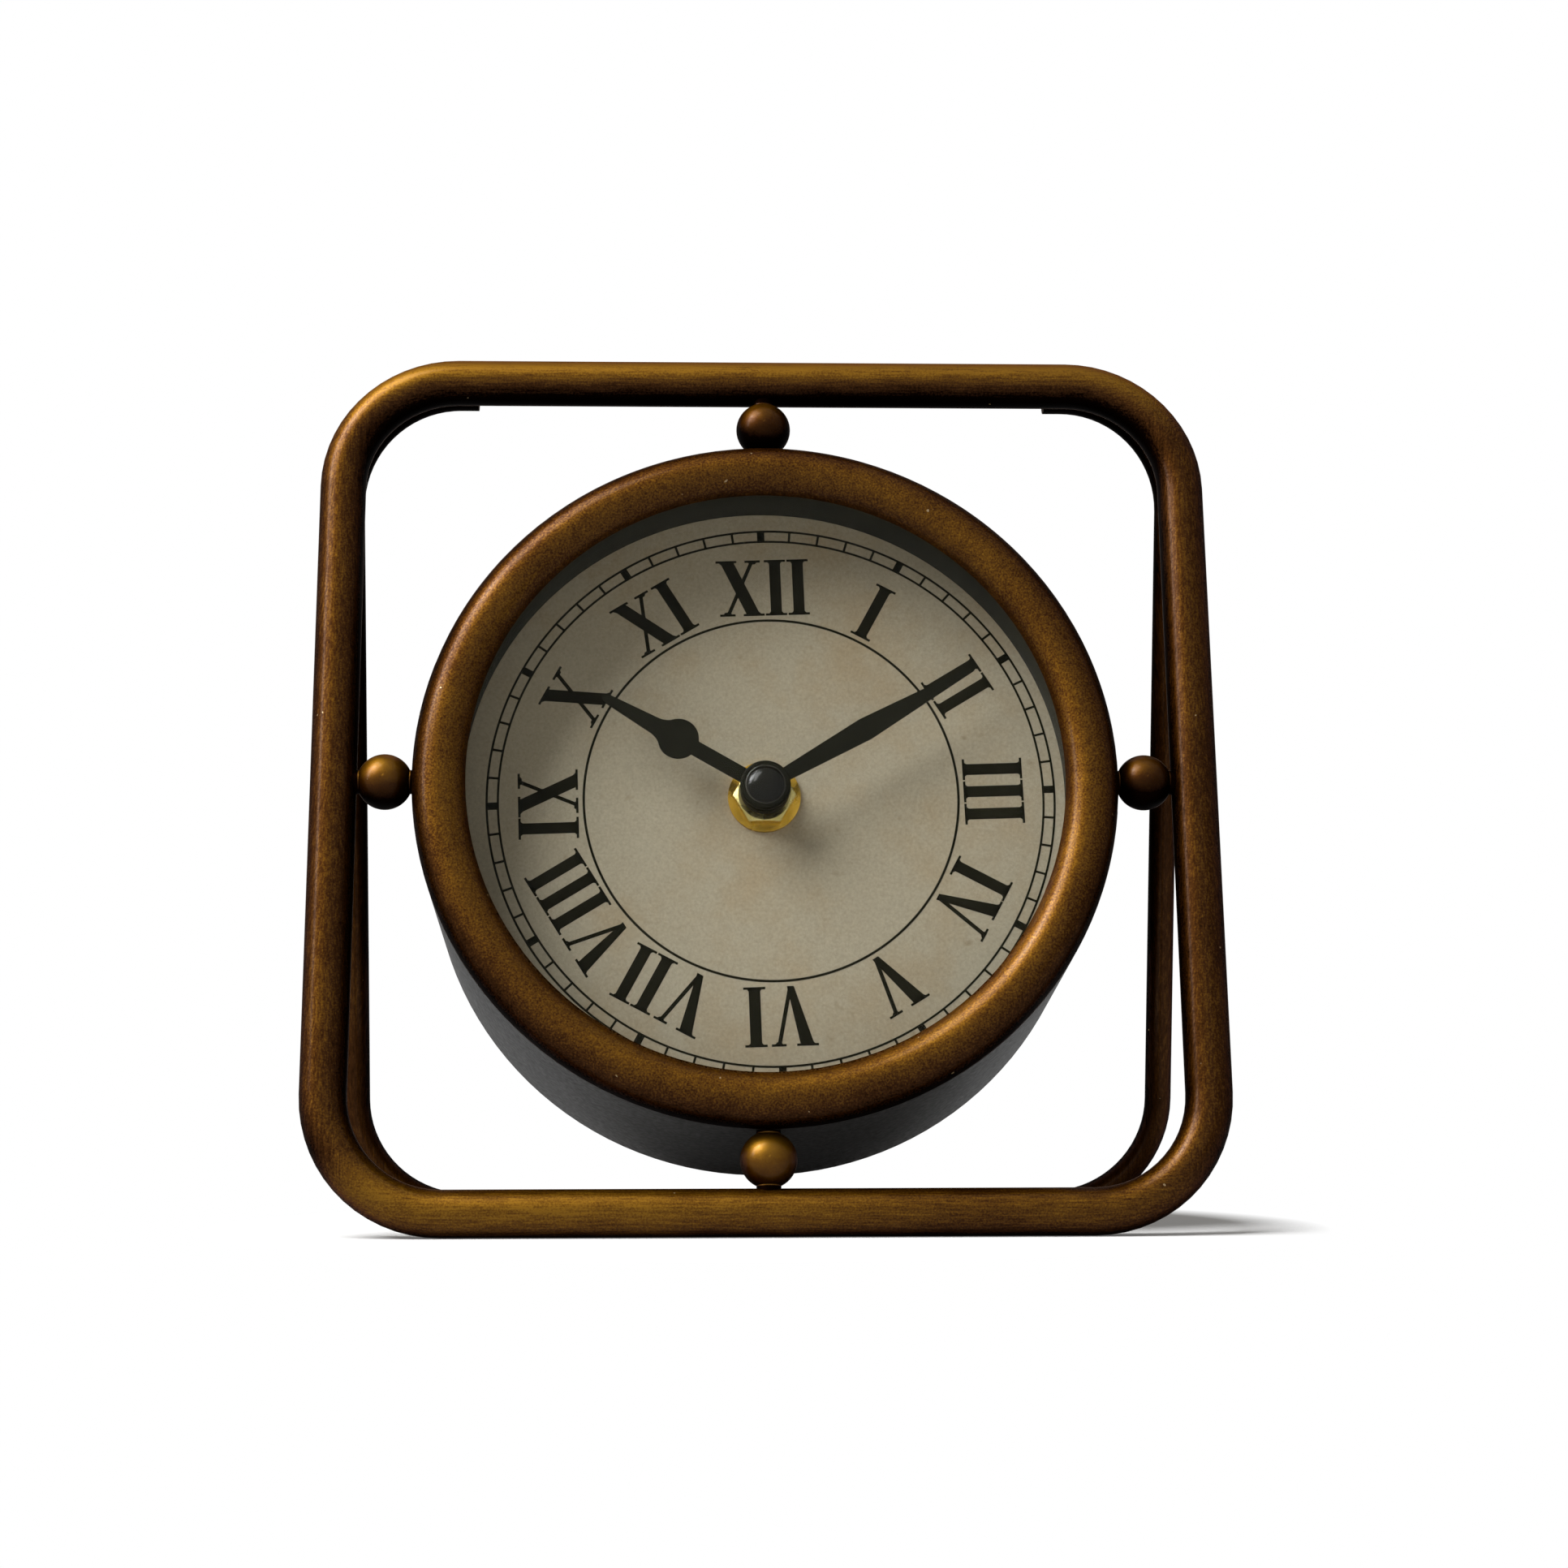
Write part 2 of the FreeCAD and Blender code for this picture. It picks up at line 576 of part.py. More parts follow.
# Movement housing: a tray with a gear space above, a battery bay below and the bush in front
def make_movement_front():
    body = new_body("movement_front")
    half, inner = "housing_half", "housing_inner"
    pad(body, box("-" + half, "-" + half, half, half), "housing_back_z", "housing_z")
    round_edges(body, "movement_corner", is_upright)
    pocket(body, box("-" + inner, "divider_high", inner, inner), "floor_z", "housing_back_z")
    pocket(body, box("-" + inner, "-" + inner, inner, "divider_low"), "floor_z", "housing_back_z")
    side = "movement_side"
    pocket(body, box("-" + side, "divider_low", side, side), "cover_z", "housing_back_z")
    pad_round(body, "bush_radius", "housing_z", "bush_z")
    pocket_round(body, "bush_bore", "bush_z", "floor_z")
    pocket_round(body, "pivot_bore", "pivot_seat_z", "floor_z", 0, "wheel_gap")
    for up in ("post_low", "post_high"):
        pad_round(body, "post_radius", "board_z", "floor_z", "-board_mid", up)
    for x in ("-module_post_x", "module_post_x"):
        pad_round(body, "post_radius", "module_z", "floor_z", x, "module_post_y")
    for low, high in (("-flange_end", "-coil_half"), ("coil_half", "flange_end")):
        pad(body, box(low, "core_low", high, "core_high"), "flange_z", "floor_z")
    return body


def make_movement_back():
    body = new_body("movement_back")
    half = "housing_half"
    pad(body, box("-" + half, "divider_low", half, half), "housing_back_z", "cover_z")
    round_edges(body, "movement_corner", lambda edge: is_upright(edge) and edge.Vertexes[0].Y > 0)
    pocket_round(body, "stem_bore", "cover_z", "housing_back_z", 0, "wheel_gap")
    return body


# Motor: a closed module that carries the minute arbor, with a coil and its iron above
def make_motor():
    module = new_body("motor_module")
    half = "module_half"
    pad(module, box("-" + half, "module_low", half, "module_high"), "module_back_z", "module_z")
    pocket_round(module, "pipe_bore", "module_z", "arbor_seat_z")
    stator = new_body("stator")
    right = [("module_half", "foot_low"), ("arm_out", "foot_low"), ("arm_out", "core_high")]
    inside = [("arm_in", "core_low"), ("arm_in", "foot_high"), ("module_half", "foot_high")]
    left = [("-" + x, y) for x, y in right]
    left_inside = [("-" + x, y) for x, y in inside]
    corners = right + left[::-1] + left_inside[::-1] + inside
    pad(stator, corners, "core_back_z", "core_z")
    return [module, stator]


def make_coil():
    bobbin = new_body("coil_bobbin")
    half, end = "coil_half", "flange_end"
    pad(bobbin, box("-" + half, "bobbin_low", half, "bobbin_high"), "bobbin_back_z", "bobbin_z")
    for low, high in (("-" + end, "-" + half), (half, end)):
        pad(bobbin, box(low, "flange_low", high, "flange_high"), "flange_back_z", "flange_z")
    pocket(bobbin, box("-" + end, "core_low", end, "core_high"), "core_z", "core_back_z")
    wire = primitive("Cylinder", "winding_round", ("-" + half, "coil_at", "coil_z"), along_x,
                     Radius="coil_radius", Height="coil_long")
    core = primitive("Box", "winding_core", ("-" + half, "bobbin_low", "bobbin_back_z"),
                     Length="coil_long", Width="bobbin_wide", Height="bobbin_thick")
    return [bobbin, stand(subtract("coil_winding", wire, core))]


# Circuit board with its potted chip and its quartz crystal
def make_board():
    board = new_body("circuit_board")
    pad(board, box("-board_out", "board_low", "-board_in", "board_high"), "board_back_z", "board_z")
    chip = new_body("chip")
    pad_round(chip, "chip_radius", "chip_back_z", "board_back_z", "-board_mid", "chip_y")
    crystal = new_body("crystal")
    sketch = new_sketch(crystal, "XZ_Plane", height="-crystal_y")
    ring(sketch, "crystal_radius", "-board_mid", "crystal_z")
    feature("Pad", crystal, sketch, 0, "crystal_long")
    return [board, chip, crystal]


# Battery contacts on the end walls of the bay, and the cell between them
def make_battery():
    made = []
    for label, leaf_x, tip_x, turn, tip in (
            ("contact_plus", "contact_in", "contact_in", against_x, "plus_tip"),
            ("contact_minus", "-housing_inner", "-contact_in", along_x, "minus_tip")):
        leaf = primitive("Box", label + "_leaf", (leaf_x, "leaf_low", "leaf_back_z"),
                         Length="contact_thick", Width="leaf_wide", Height="leaf_tall")
        spring = primitive("Cone", label + "_spring", (tip_x, "cell_y", "cell_z"), turn,
                           Radius1="spring_radius", Radius2=tip, Height="spring_long")
        made.append(stand(fuse(label, [leaf, spring])))
    can = primitive("Cylinder", "cell_can", ("-cell_half", "cell_y", "cell_z"), along_x,
                    Radius="cell_radius", Height="can_long")
    nub = primitive("Cylinder", "cell_nub", ("nub_from", "cell_y", "cell_z"), along_x,
                    Radius="nub_radius", Height="nub_long")
    return made + [stand(fuse("battery", [can, nub]))]


# Hour hand: a collet behind, then straight neck, round bulb and a hollow-sided point
def make_hour_hand():
    body = new_body("hour_hand")
    low, high, turn = "hour_blade_z", "hour_top_z", "-hour_angle"
    sketch = new_sketch(body, height=low, turn=turn)
    right = [("hour_neck", 0), ("hour_neck", "hour_bulb_at"), ("hour_flare", "hour_flare_at"),
             ("hour_waist", "hour_waist_at"), ("hour_tip", "hour_tip_at")]
    left = [("-" + x, y) for x, y in reversed(right)]
    outline(sketch, right + left, {2: "-hour_scoop", 6: "-hour_scoop"})
    feature("Pad", body, sketch, low, high)
    for radius, reach in (("hour_tip", "hour_tip_at"), ("hour_bulb", "hour_bulb_at")):
        pad_round(body, radius, low, high, 0, reach, turn)
    pad_round(body, "hour_hub", "hour_z", high)
    pocket_round(body, "pipe_radius", high, "hour_z")
    return body


# Minute hand: a raised hub and a long lozenge
def make_minute_hand():
    body = new_body("minute_hand")
    low, high, turn = "minute_z", "minute_top_z", "-minute_angle"
    sketch = new_sketch(body, height=low, turn=turn)
    right = [("minute_root", 0), ("minute_wide", "minute_wide_at"), ("minute_tip", "minute_tip_at")]
    outline(sketch, right + [("-" + x, y) for x, y in reversed(right)])
    feature("Pad", body, sketch, low, high)
    pad_round(body, "minute_tip", low, high, 0, "minute_tip_at", turn)
    pad_round(body, "minute_hub", low, "cap_z")
    pocket_round(body, "arbor_radius", "cap_z", low)
    round_edges(body, "hub_round", lambda edge: is_circle(edge, "minute_hub", "cap_z"))
    return body


# Domed cap nut on the end of the minute arbor
def make_cap_nut():
    corners = [("arbor_radius", "cap_z"), ("cap_radius", "cap_z"), ("cap_radius", "cap_rim_z"),
               (0, "cap_top_z"), (0, "arbor_z"), ("arbor_radius", "arbor_z")]
    return turned("cap_nut", corners, {2: "dome_radius"})


def toothed(count, module, is_pinion, facing, low, high):
    """A spur gear about the axis with involute teeth, one of them at the given angle. A pinion's
    teeth are long above the pitch circle and a wheel's are short, so that few teeth run freely."""
    teeth = int(number(count))
    pitch = number(module) * teeth / 2
    long, short = number(module), number(module) / 2
    tip = pitch + (long if is_pinion else short)
    root = pitch - (short if is_pinion else long) - number("tooth_gap")
    base = pitch * math.cos(math.radians(20))

    def rolled(radius):
        turn = math.acos(base / radius)
        return math.tan(turn) - turn

    half = math.pi / (2 * teeth) - number("backlash") / (4 * pitch) + rolled(pitch)
    flank = [base, (base + tip) / 2, tip]

    def at(radius, angle):
        return vec(radius * math.cos(angle), radius * math.sin(angle), number(low))

    edges = []
    for i in range(teeth):
        middle = math.radians(facing) + 2 * math.pi * i / teeth
        gap = middle + math.pi / teeth
        rise = [at(radius, middle - half + rolled(radius)) for radius in flank]
        fall = [at(radius, middle + half - rolled(radius)) for radius in reversed(flank)]
        heel, next_foot = at(root, middle + half), at(root, 2 * gap - middle - half)
        edges += [
            Part.makeLine(at(root, middle - half), rise[0]), Part.Arc(*rise).toShape(),
            Part.Arc(rise[2], at(tip, middle), fall[0]).toShape(), Part.Arc(*fall).toShape(),
            Part.makeLine(fall[2], heel), Part.Arc(heel, at(root, gap), next_foot).toShape()]
    return Part.Face(Part.Wire(edges)).extrude(vec(0, 0, number(high) - number(low)))


def spindle(radius, low, high):
    return Part.makeCylinder(number(radius), number(high) - number(low), vec(0, 0, number(low)))


def geared(label, shape, **place):
    """A piece whose teeth follow a formula"""
    thing = doc.addObject("Part::Feature", label)
    thing.Shape = shape.removeSplitter()
    return stand(thing, **place)


# Motion work: cannon pinion to transfer wheel, and that wheel's pinion to the hour wheel
def make_motion_work():
    cannon = toothed("cannon_count", "gear_module", True, 90, "cannon_back_z", "cannon_z")
    arbor = geared("minute_arbor", spindle("arbor_radius", "arbor_back_z", "arbor_z").fuse(cannon))
    wheel = toothed("hour_count", "pinion_module", False, 90, "hour_wheel_back_z", "hour_wheel_z")
    pipe = spindle("pipe_radius", "hour_wheel_back_z", "pipe_z").fuse(wheel)
    hour = geared("hour_wheel", pipe.cut(spindle("pipe_bore", "hour_wheel_back_z", "pipe_z")))
    gap_at = -90 + 180 / number("transfer_count")
    large = toothed("transfer_count", "gear_module", False, gap_at, "transfer_back_z", "transfer_z")
    gap_at = -90 + 180 / number("pinion_count")
    small = toothed("pinion_count", "pinion_module", True, gap_at, "transfer_z", "pinion_z")
    stem = spindle("stem_radius", "knob_back_z", "pinion_z")
    pivot = spindle("pivot_radius", "pinion_z", "pivot_z")
    whole = stem.fuse(pivot).fuse(large).fuse(small)
    transfer = geared("transfer_wheel", whole, y="stem_y", up="stem_up")
    return [arbor, hour, transfer]


# Setting knob on the rear end of the transfer stem, with a grooved grip
def make_set_knob():
    knob = new_body("set_knob", y="stem_y", up="stem_up")
    pad_round(knob, "knob_radius", "knob_back_z", "knob_z")
    pocket_round(knob, "stem_radius", "knob_z", "knob_back_z")
    groove = pocket_round(knob, "grip_radius", "knob_z", "knob_back_z", 0, "knob_radius")
    doc.recompute()
    grip = knob.newObject("PartDesign::PolarPattern", "knob_grip")
    grip.Originals = [groove]
    grip.Axis = (groove.Profile[0], ["N_Axis"])
    grip.Angle = 360
    grip.setExpression("Occurrences", link("grip_count"))
    knob.Tip = grip
    return knob


nodes = [make_front_frame(), make_rear_leg()]
for side, x, y in (("top", 0, 1), ("bottom", 0, -1), ("left", -1, 0), ("right", 1, 0)):
    nodes.append(make_ball(side, x, y))
nodes += [make_case_drum(), make_case_back(), make_bezel(), *make_dial(), make_hex_nut()]
nodes += [make_movement_front(), make_movement_back(), *make_motor(), *make_coil(), *make_board()]
nodes += [*make_battery(), make_hour_hand(), make_minute_hand(), make_cap_nut()]
nodes += [*make_motion_work(), make_set_knob()]

doc.recompute()
for thing in doc.Objects:
    if "Invalid" in thing.State or "Error" in thing.State:
        raise RuntimeError(f"{thing.Label} did not build")
for node in nodes:
    if node.Shape.isNull() or not node.Shape.isValid():
        raise RuntimeError(f"{node.Label} has no valid shape")
for node in nodes:
    node.Shape.exportStep(f"parts/{node.Label}.step")
print(len(nodes), "pieces")
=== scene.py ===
import bmesh
import bpy
import json
import math
from mathutils import Matrix, Vector


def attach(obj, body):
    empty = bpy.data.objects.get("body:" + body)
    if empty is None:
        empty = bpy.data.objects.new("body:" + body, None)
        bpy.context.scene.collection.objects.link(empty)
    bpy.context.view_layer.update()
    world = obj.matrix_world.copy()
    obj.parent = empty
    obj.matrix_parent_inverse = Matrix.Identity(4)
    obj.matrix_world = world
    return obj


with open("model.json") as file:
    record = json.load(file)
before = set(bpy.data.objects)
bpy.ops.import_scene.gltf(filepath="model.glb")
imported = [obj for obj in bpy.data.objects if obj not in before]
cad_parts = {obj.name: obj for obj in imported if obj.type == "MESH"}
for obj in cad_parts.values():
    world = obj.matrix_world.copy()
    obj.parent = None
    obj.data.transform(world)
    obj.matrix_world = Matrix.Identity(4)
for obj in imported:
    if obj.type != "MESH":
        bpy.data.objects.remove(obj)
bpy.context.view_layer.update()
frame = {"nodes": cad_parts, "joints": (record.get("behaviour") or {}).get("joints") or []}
nodes = frame["nodes"]
print("frame loaded,", len(nodes), "nodes")

# The dial's own axes: x to the right, y up the leaning dial, z towards the viewer
mm = 0.001
minuteJoint = next(joint for joint in frame["joints"] if joint["name"] == "minute_spin")
dialCentre = Vector(minuteJoint["pos_m"])
dialRight = Vector((1, 0, 0))
dialOut = -Vector(minuteJoint["axis"]).normalized()
dialUp = dialOut.cross(dialRight)
skyward = Vector((0, 0, 1))
dialAxes = Matrix((dialRight, dialUp, dialOut)).transposed().to_4x4()
dialPlace = Matrix.Translation(dialCentre) @ dialAxes @ Matrix.Scale(mm, 4)
mergeWithin = 0.0005  # millimetres between points that are merged


def pick(piece):
    if bpy.context.mode != "OBJECT":
        bpy.ops.object.mode_set(mode="OBJECT")
    bpy.ops.object.select_all(action="DESELECT")
    piece.select_set(True)
    bpy.context.view_layer.objects.active = piece


def startPiece(name):  # names the primitive just added and opens it for editing
    piece = bpy.context.object
    piece.name = name
    piece.data.name = name
    bpy.ops.object.mode_set(mode="EDIT")
    return piece


def closeMesh(piece):
    pick(piece)
    bpy.ops.object.mode_set(mode="EDIT")
    bpy.ops.mesh.select_all(action="SELECT")
    bpy.ops.mesh.remove_doubles(threshold=mergeWithin)
    bpy.ops.mesh.normals_make_consistent(inside=False)
    bpy.ops.object.mode_set(mode="OBJECT")


def copyTurned(piece, degrees):  # a copy with its own mesh, turned clockwise about the dial's axis
    twin = piece.copy()
    twin.data = piece.data.copy()
    bpy.context.collection.objects.link(twin)
    twin.rotation_euler.z = -math.radians(degrees)
    return twin


def copies(first, count):  # the piece and its copies, evenly spaced round the dial
    return [first] + [copyTurned(first, 360 / count * i) for i in range(1, count)]


def joinPieces(pieces, name):
    pick(pieces[0])
    for piece in pieces:
        piece.select_set(True)
    bpy.ops.object.transform_apply()
    bpy.ops.object.join()
    pieces[0].name = name
    pieces[0].data.name = name
    return pieces[0]


def setOnDial(piece, height, across=0.0, turn=0.0):  # from millimetres on the dial to the clock's place
    pick(piece)
    spot = Matrix.Translation((across, 0, height)) @ Matrix.Rotation(math.radians(turn), 4, "Z")
    piece.matrix_world = dialPlace @ spot
    bpy.ops.object.transform_apply()


def frontOf(name):  # height of a node's front above the dial's origin, in millimetres
    reach = max(dialOut.dot(point.co) for point in nodes[name].data.vertices)
    return (reach - dialOut.dot(dialCentre)) / mm


# Node helpers
def addNode(tree, kind, sockets=None, **settings):
    made = tree.nodes.new("ShaderNode" + kind)
    for key, value in settings.items():
        setattr(made, key, value)
    for key, value in (sockets or {}).items():
        if isinstance(value, bpy.types.NodeSocket):
            tree.links.new(value, made.inputs[key])
        else:
            made.inputs[key].default_value = value
    return made


def newFinish(name):
    finish = bpy.data.materials.new(name)
    finish.use_nodes = True
    tree = finish.node_tree
    tree.nodes.clear()
    place = addNode(tree, "TexCoord").outputs["Object"]
    return finish, tree, place


def shine(tree, sockets):  # the shader and its output
    shader = addNode(tree, "BsdfPrincipled", sockets)
    addNode(tree, "OutputMaterial", {"Surface": shader.outputs["BSDF"]})


noiseBand = (0.3, 0.7)  # most of a noise lies between these


def grain(tree, place, scale, detail=3.0, rough=0.55, stretch=None):
    if stretch:
        place = addNode(tree, "Mapping", {"Vector": place, "Scale": stretch}).outputs["Vector"]
    sockets = {"Vector": place, "Scale": scale, "Detail": detail, "Roughness": rough}
    return addNode(tree, "TexNoise", sockets).outputs["Fac"]


def ramp(tree, factor, stops):  # stops are (place, colour)
    made = addNode(tree, "ValToRGB", {"Fac": factor})
    band = made.color_ramp
    while len(band.elements) < len(stops):
        band.elements.new(0.5)
    for element, (spot, colour) in zip(band.elements, stops):
        element.position = spot
        element.color = (*colour, 1)
    return made.outputs["Color"]


def twoTone(tree, noise, low, high):
    return ramp(tree, noise, list(zip(noiseBand, (low, high))))


def span(tree, value, low, high, toLow=0.0, toHigh=1.0):
    sockets = {"Value": value, "From Min": low, "From Max": high, "To Min": toLow, "To Max": toHigh}
    return addNode(tree, "MapRange", sockets).outputs["Result"]


def blendColour(tree, factor, first, second, kind="MIX"):
    made = addNode(tree, "Mix", data_type="RGBA", blend_type=kind)
    for socket, value in ((made.inputs[0], factor), (made.inputs[6], first), (made.inputs[7], second)):
        if isinstance(value, bpy.types.NodeSocket):
            tree.links.new(value, socket)
        elif isinstance(value, tuple):
            socket.default_value = (*value, 1)
        else:
            socket.default_value = value
    return made.outputs[2]


def calc(tree, operation, first, second=0.0):
    made = addNode(tree, "Math", operation=operation)
    for socket, value in zip(made.inputs, (first, second)):
        if isinstance(value, bpy.types.NodeSocket):
            tree.links.new(value, socket)
        else:
            socket.default_value = value
    return made.outputs["Value"]


def times(tree, first, second):
    return calc(tree, "MULTIPLY", first, second)


def total(tree, values):
    added = values[0]
    for value in values[1:]:
        added = calc(tree, "ADD", added, value)
    return added


def bump(tree, height, strength, distance):
    sockets = {"Height": height, "Strength": strength, "Distance": distance}
    return addNode(tree, "Bump", sockets).outputs["Normal"]


def reckon(tree, operation, result, *vectors):  # a sum on vectors
    return addNode(tree, "VectorMath", dict(enumerate(vectors)), operation=operation).outputs[result]


def facing(tree, direction):  # 1 where the surface faces the direction, -1 where it faces away
    normal = addNode(tree, "NewGeometry").outputs["Normal"]
    return reckon(tree, "DOT_PRODUCT", "Value", normal, direction)


def along(tree, place, direction):  # distance in metres along a direction
    return reckon(tree, "DOT_PRODUCT", "Value", place, direction)


def fromDialCentre(tree, place):
    return reckon(tree, "SUBTRACT", "Vector", place, dialCentre)


# Aged bronze paint with painted light and shade: brown-black on the undersides and where nothing rubs it
# (painted shade, partly patina), gold where it faces up, out, or to front and back (painted highlight,
# partly rubbed patina).
# A grain is its scale, detail and roughness
bronze = {
    "black": (0.0022, 0.0006, 0.0003), "brown": (0.032, 0.0102, 0.0006), "bronze": (0.080, 0.0325, 0.0018),
    "gold": (0.145, 0.068, 0.0045), "blackAt": 0.04, "brownAt": 0.36, "bronzeAt": 0.57, "goldAt": 0.76,
    "speckleGrain": (2400, 3, 0.6), "mottleGrain": (380, 4, 0.6), "cloudGrain": (45, 4, 0.6),
    "streakGrain": (1, 5, 0.75), "streakAlong": 130, "streakAcross": 2200, "streakBand": (0.25, 0.75),
    "brush": 0.20, "mottle": 0.05, "cloud": 0.07, "flank": 0.24, "flankPower": 3,
    "chip": (0.30, 0.22, 0.12), "chipGrain": (520, 1, 0.4), "chipFrom": (0.80, 0.815), "chipShare": 0.7,
    "metal": (0.75, 0.95), "metalFrom": (0.1, 0.8), "rough": (0.42, 0.52), "edgeBlend": 0.5,
    "sheen": 0.03, "edge": (0.30, 0.18, 0.08, 1), "barBump": 0.16, "plainBump": 0.06, "bumpDeep": 0.00006,
    "lacquer": 0.14, "lacquerRough": 0.22, "lacquerFrom": (0.05, 0.5), "lacquerEdge": (0.3, 0.9),
    "corner": 0.006, "middle": 0.03, "topBarLightAt": (0.080, 0.092), "ballRadius": 6.0, "neck": (1.02, 1.06),
    "footAt": (0.010, 0.018), "footUp": 0.1, "footSide": (-0.02, 0.04), "footRight": 0.5,
}


def barStreaks(tree, place):  # brushed along the run of each bar
    offset = fromDialCentre(tree, place)
    level = calc(tree, "ABSOLUTE", along(tree, offset, dialRight))
    upright = calc(tree, "ABSOLUTE", along(tree, offset, dialUp))
    side = span(tree, calc(tree, "SUBTRACT", level, upright), -bronze["corner"], bronze["corner"])
    run, cross = bronze["streakAlong"], bronze["streakAcross"]
    flat = grain(tree, place, *bronze["streakGrain"], (run, cross, cross))
    tall = grain(tree, place, *bronze["streakGrain"], (cross, cross, run))
    return addNode(tree, "Mix", {0: side, 2: flat, 3: tall}).outputs[0]


def beyondBall(tree, place, ball):  # 1 on the weld necks of a ball, 0 on the ball itself
    radius = bronze["ballRadius"] * mm
    frontPoint = max((point.co for point in nodes[ball].data.vertices), key=dialOut.dot)
    reach = reckon(tree, "DISTANCE", "Value", place, frontPoint - dialOut * radius)
    return span(tree, reach, *[radius * share for share in bronze["neck"]])


def awayFromMiddle(tree, offset, direction):  # 1 where the surface faces away from the dial's middle
    side = span(tree, along(tree, offset, direction), -bronze["middle"], bronze["middle"], -1, 1)
    return times(tree, facing(tree, direction), side)


def bronzeRubAndLight(tree, place, streaks, front, up, out, lift, fleck, streaked, foot, topBarLight, ball):
    offset = fromDialCentre(tree, place)
    height = along(tree, place, skyward)
    speckle = grain(tree, place, *bronze["speckleGrain"])
    cloud = grain(tree, place, *bronze["cloudGrain"])
    depth = bronze["brush"] if streaked else bronze["mottle"]
    outside = awayFromMiddle(tree, offset, dialRight)
    outward = calc(tree, "ADD", outside, awayFromMiddle(tree, offset, dialUp))
    # painted shade: near the foot, upward faces keep only a little of their painted top light
    aboveFoot = span(tree, height, *bronze["footAt"], bronze["footUp"], 1)
    upFacing = times(tree, facing(tree, skyward), aboveFoot)
    # painted floor light at the foot of the frame, weaker towards the right
    lessRight = span(tree, along(tree, place, dialRight), *bronze["footSide"], 1, bronze["footRight"])
    # painted highlight on faces turned up, out and to the front, painted shade on the undersides and on
    # faces turned away
    rubAndLightTerms = [
        times(tree, calc(tree, "ABSOLUTE", facing(tree, dialOut)), front),
        times(tree, upFacing, up),
        times(tree, outward, out),
        # painted floor light on the lowest part of the frame
        times(tree, span(tree, height, *bronze["footAt"], foot, 0), lessRight),
        # painted light: the top bar made lighter all along
        span(tree, along(tree, offset, dialUp), *bronze["topBarLightAt"], 0, topBarLight),
        span(tree, cloud, *noiseBand, -bronze["cloud"], bronze["cloud"]),
        span(tree, streaks, *bronze["streakBand"], lift - depth, lift + depth),
        span(tree, speckle, *noiseBand, -fleck, fleck),
    ]
    # outer side faces made lighter, easing the painted shade there
    if streaked:
        flank = calc(tree, "POWER", calc(tree, "MAXIMUM", outside, 0), bronze["flankPower"])
        rubAndLightTerms.append(times(tree, flank, bronze["flank"]))
    if ball:
        rubAndLightTerms.append(times(tree, beyondBall(tree, place, ball), -1))
    return total(tree, rubAndLightTerms), speckle


def bronzePaint(name, front, up, out, lift, fleck, streaked, foot=0.0, topBarLight=0.0, ball=None):
    finish, tree, place = newFinish(name)
    streaks = barStreaks(tree, place) if streaked else grain(tree, place, *bronze["mottleGrain"])
    rubAndLight, speckle = bronzeRubAndLight(tree, place, streaks, front, up, out, lift, fleck, streaked, foot, topBarLight, ball)
    tones = ("black", "brown", "bronze", "gold")
    colour = ramp(tree, rubAndLight, [(bronze[tone + "At"], bronze[tone]) for tone in tones])
    chips = span(tree, grain(tree, place, *bronze["chipGrain"]), *bronze["chipFrom"])
    colour = blendColour(tree, times(tree, chips, bronze["chipShare"]), colour, bronze["chip"])
    rough = span(tree, streaks, *noiseBand, *bronze["rough"])
    relief = bronze["barBump"] if streaked else bronze["plainBump"]
    normal = bump(tree, calc(tree, "ADD", streaks, speckle), relief, bronze["bumpDeep"])
    metal = span(tree, rubAndLight, *bronze["metalFrom"], *bronze["metal"])
    edge = addNode(tree, "LayerWeight", {"Blend": bronze["edgeBlend"]}).outputs["Facing"]
    lacquer = span(tree, rubAndLight, *bronze["lacquerFrom"], 0, bronze["lacquer"])
    lacquer = times(tree, lacquer, span(tree, edge, *bronze["lacquerEdge"], 1, 0))
    shine(tree, {"Base Color": colour, "Metallic": metal, "Roughness": rough, "Normal": normal,
                 "Specular IOR Level": bronze["sheen"], "Specular Tint": bronze["edge"],
                 "Coat Weight": lacquer, "Coat Roughness": bronze["lacquerRough"]})
    return finish


# Satin paint and plastic: a faint cloud in the colour, and orange peel in the gloss
satin = {"cloudGrain": (60, 4), "peelDetail": 2, "roughBand": (-0.05, 0.07),
         "bump": 0.12, "bumpDeep": 0.00006}


def satinPaint(name, low, high, rough, metal=0.0, peel=900, sheen=0.5):
    finish, tree, place = newFinish(name)
    orange = grain(tree, place, peel, satin["peelDetail"])
    colour = twoTone(tree, grain(tree, place, *satin["cloudGrain"]), low, high)
    gloss = span(tree, orange, *noiseBand, *[rough + change for change in satin["roughBand"]])
    normal = bump(tree, orange, satin["bump"], satin["bumpDeep"])
    shine(tree, {"Base Color": colour, "Metallic": metal, "Roughness": gloss, "Normal": normal,
                 "Specular IOR Level": sheen})
    return finish


# Turned brass: fine rings about the dial's axis
turned = {"ringRate": 42000, "cloudGrain": (240, 3), "rough": (0.18, 0.32),
          "bump": 0.08, "bumpDeep": 0.00004}


def turnedBrass(name, low, high):
    finish, tree, place = newFinish(name)
    across = reckon(tree, "CROSS_PRODUCT", "Vector", fromDialCentre(tree, place), dialOut)
    rings = calc(tree, "SINE", times(tree, reckon(tree, "LENGTH", "Value", across), turned["ringRate"]))
    cloud = grain(tree, place, *turned["cloudGrain"])
    colour = twoTone(tree, cloud, low, high)
    rough = span(tree, cloud, *noiseBand, *turned["rough"])
    normal = bump(tree, rings, turned["bump"], turned["bumpDeep"])
    shine(tree, {"Base Color": colour, "Metallic": 1.0, "Roughness": rough, "Normal": normal})
    return finish


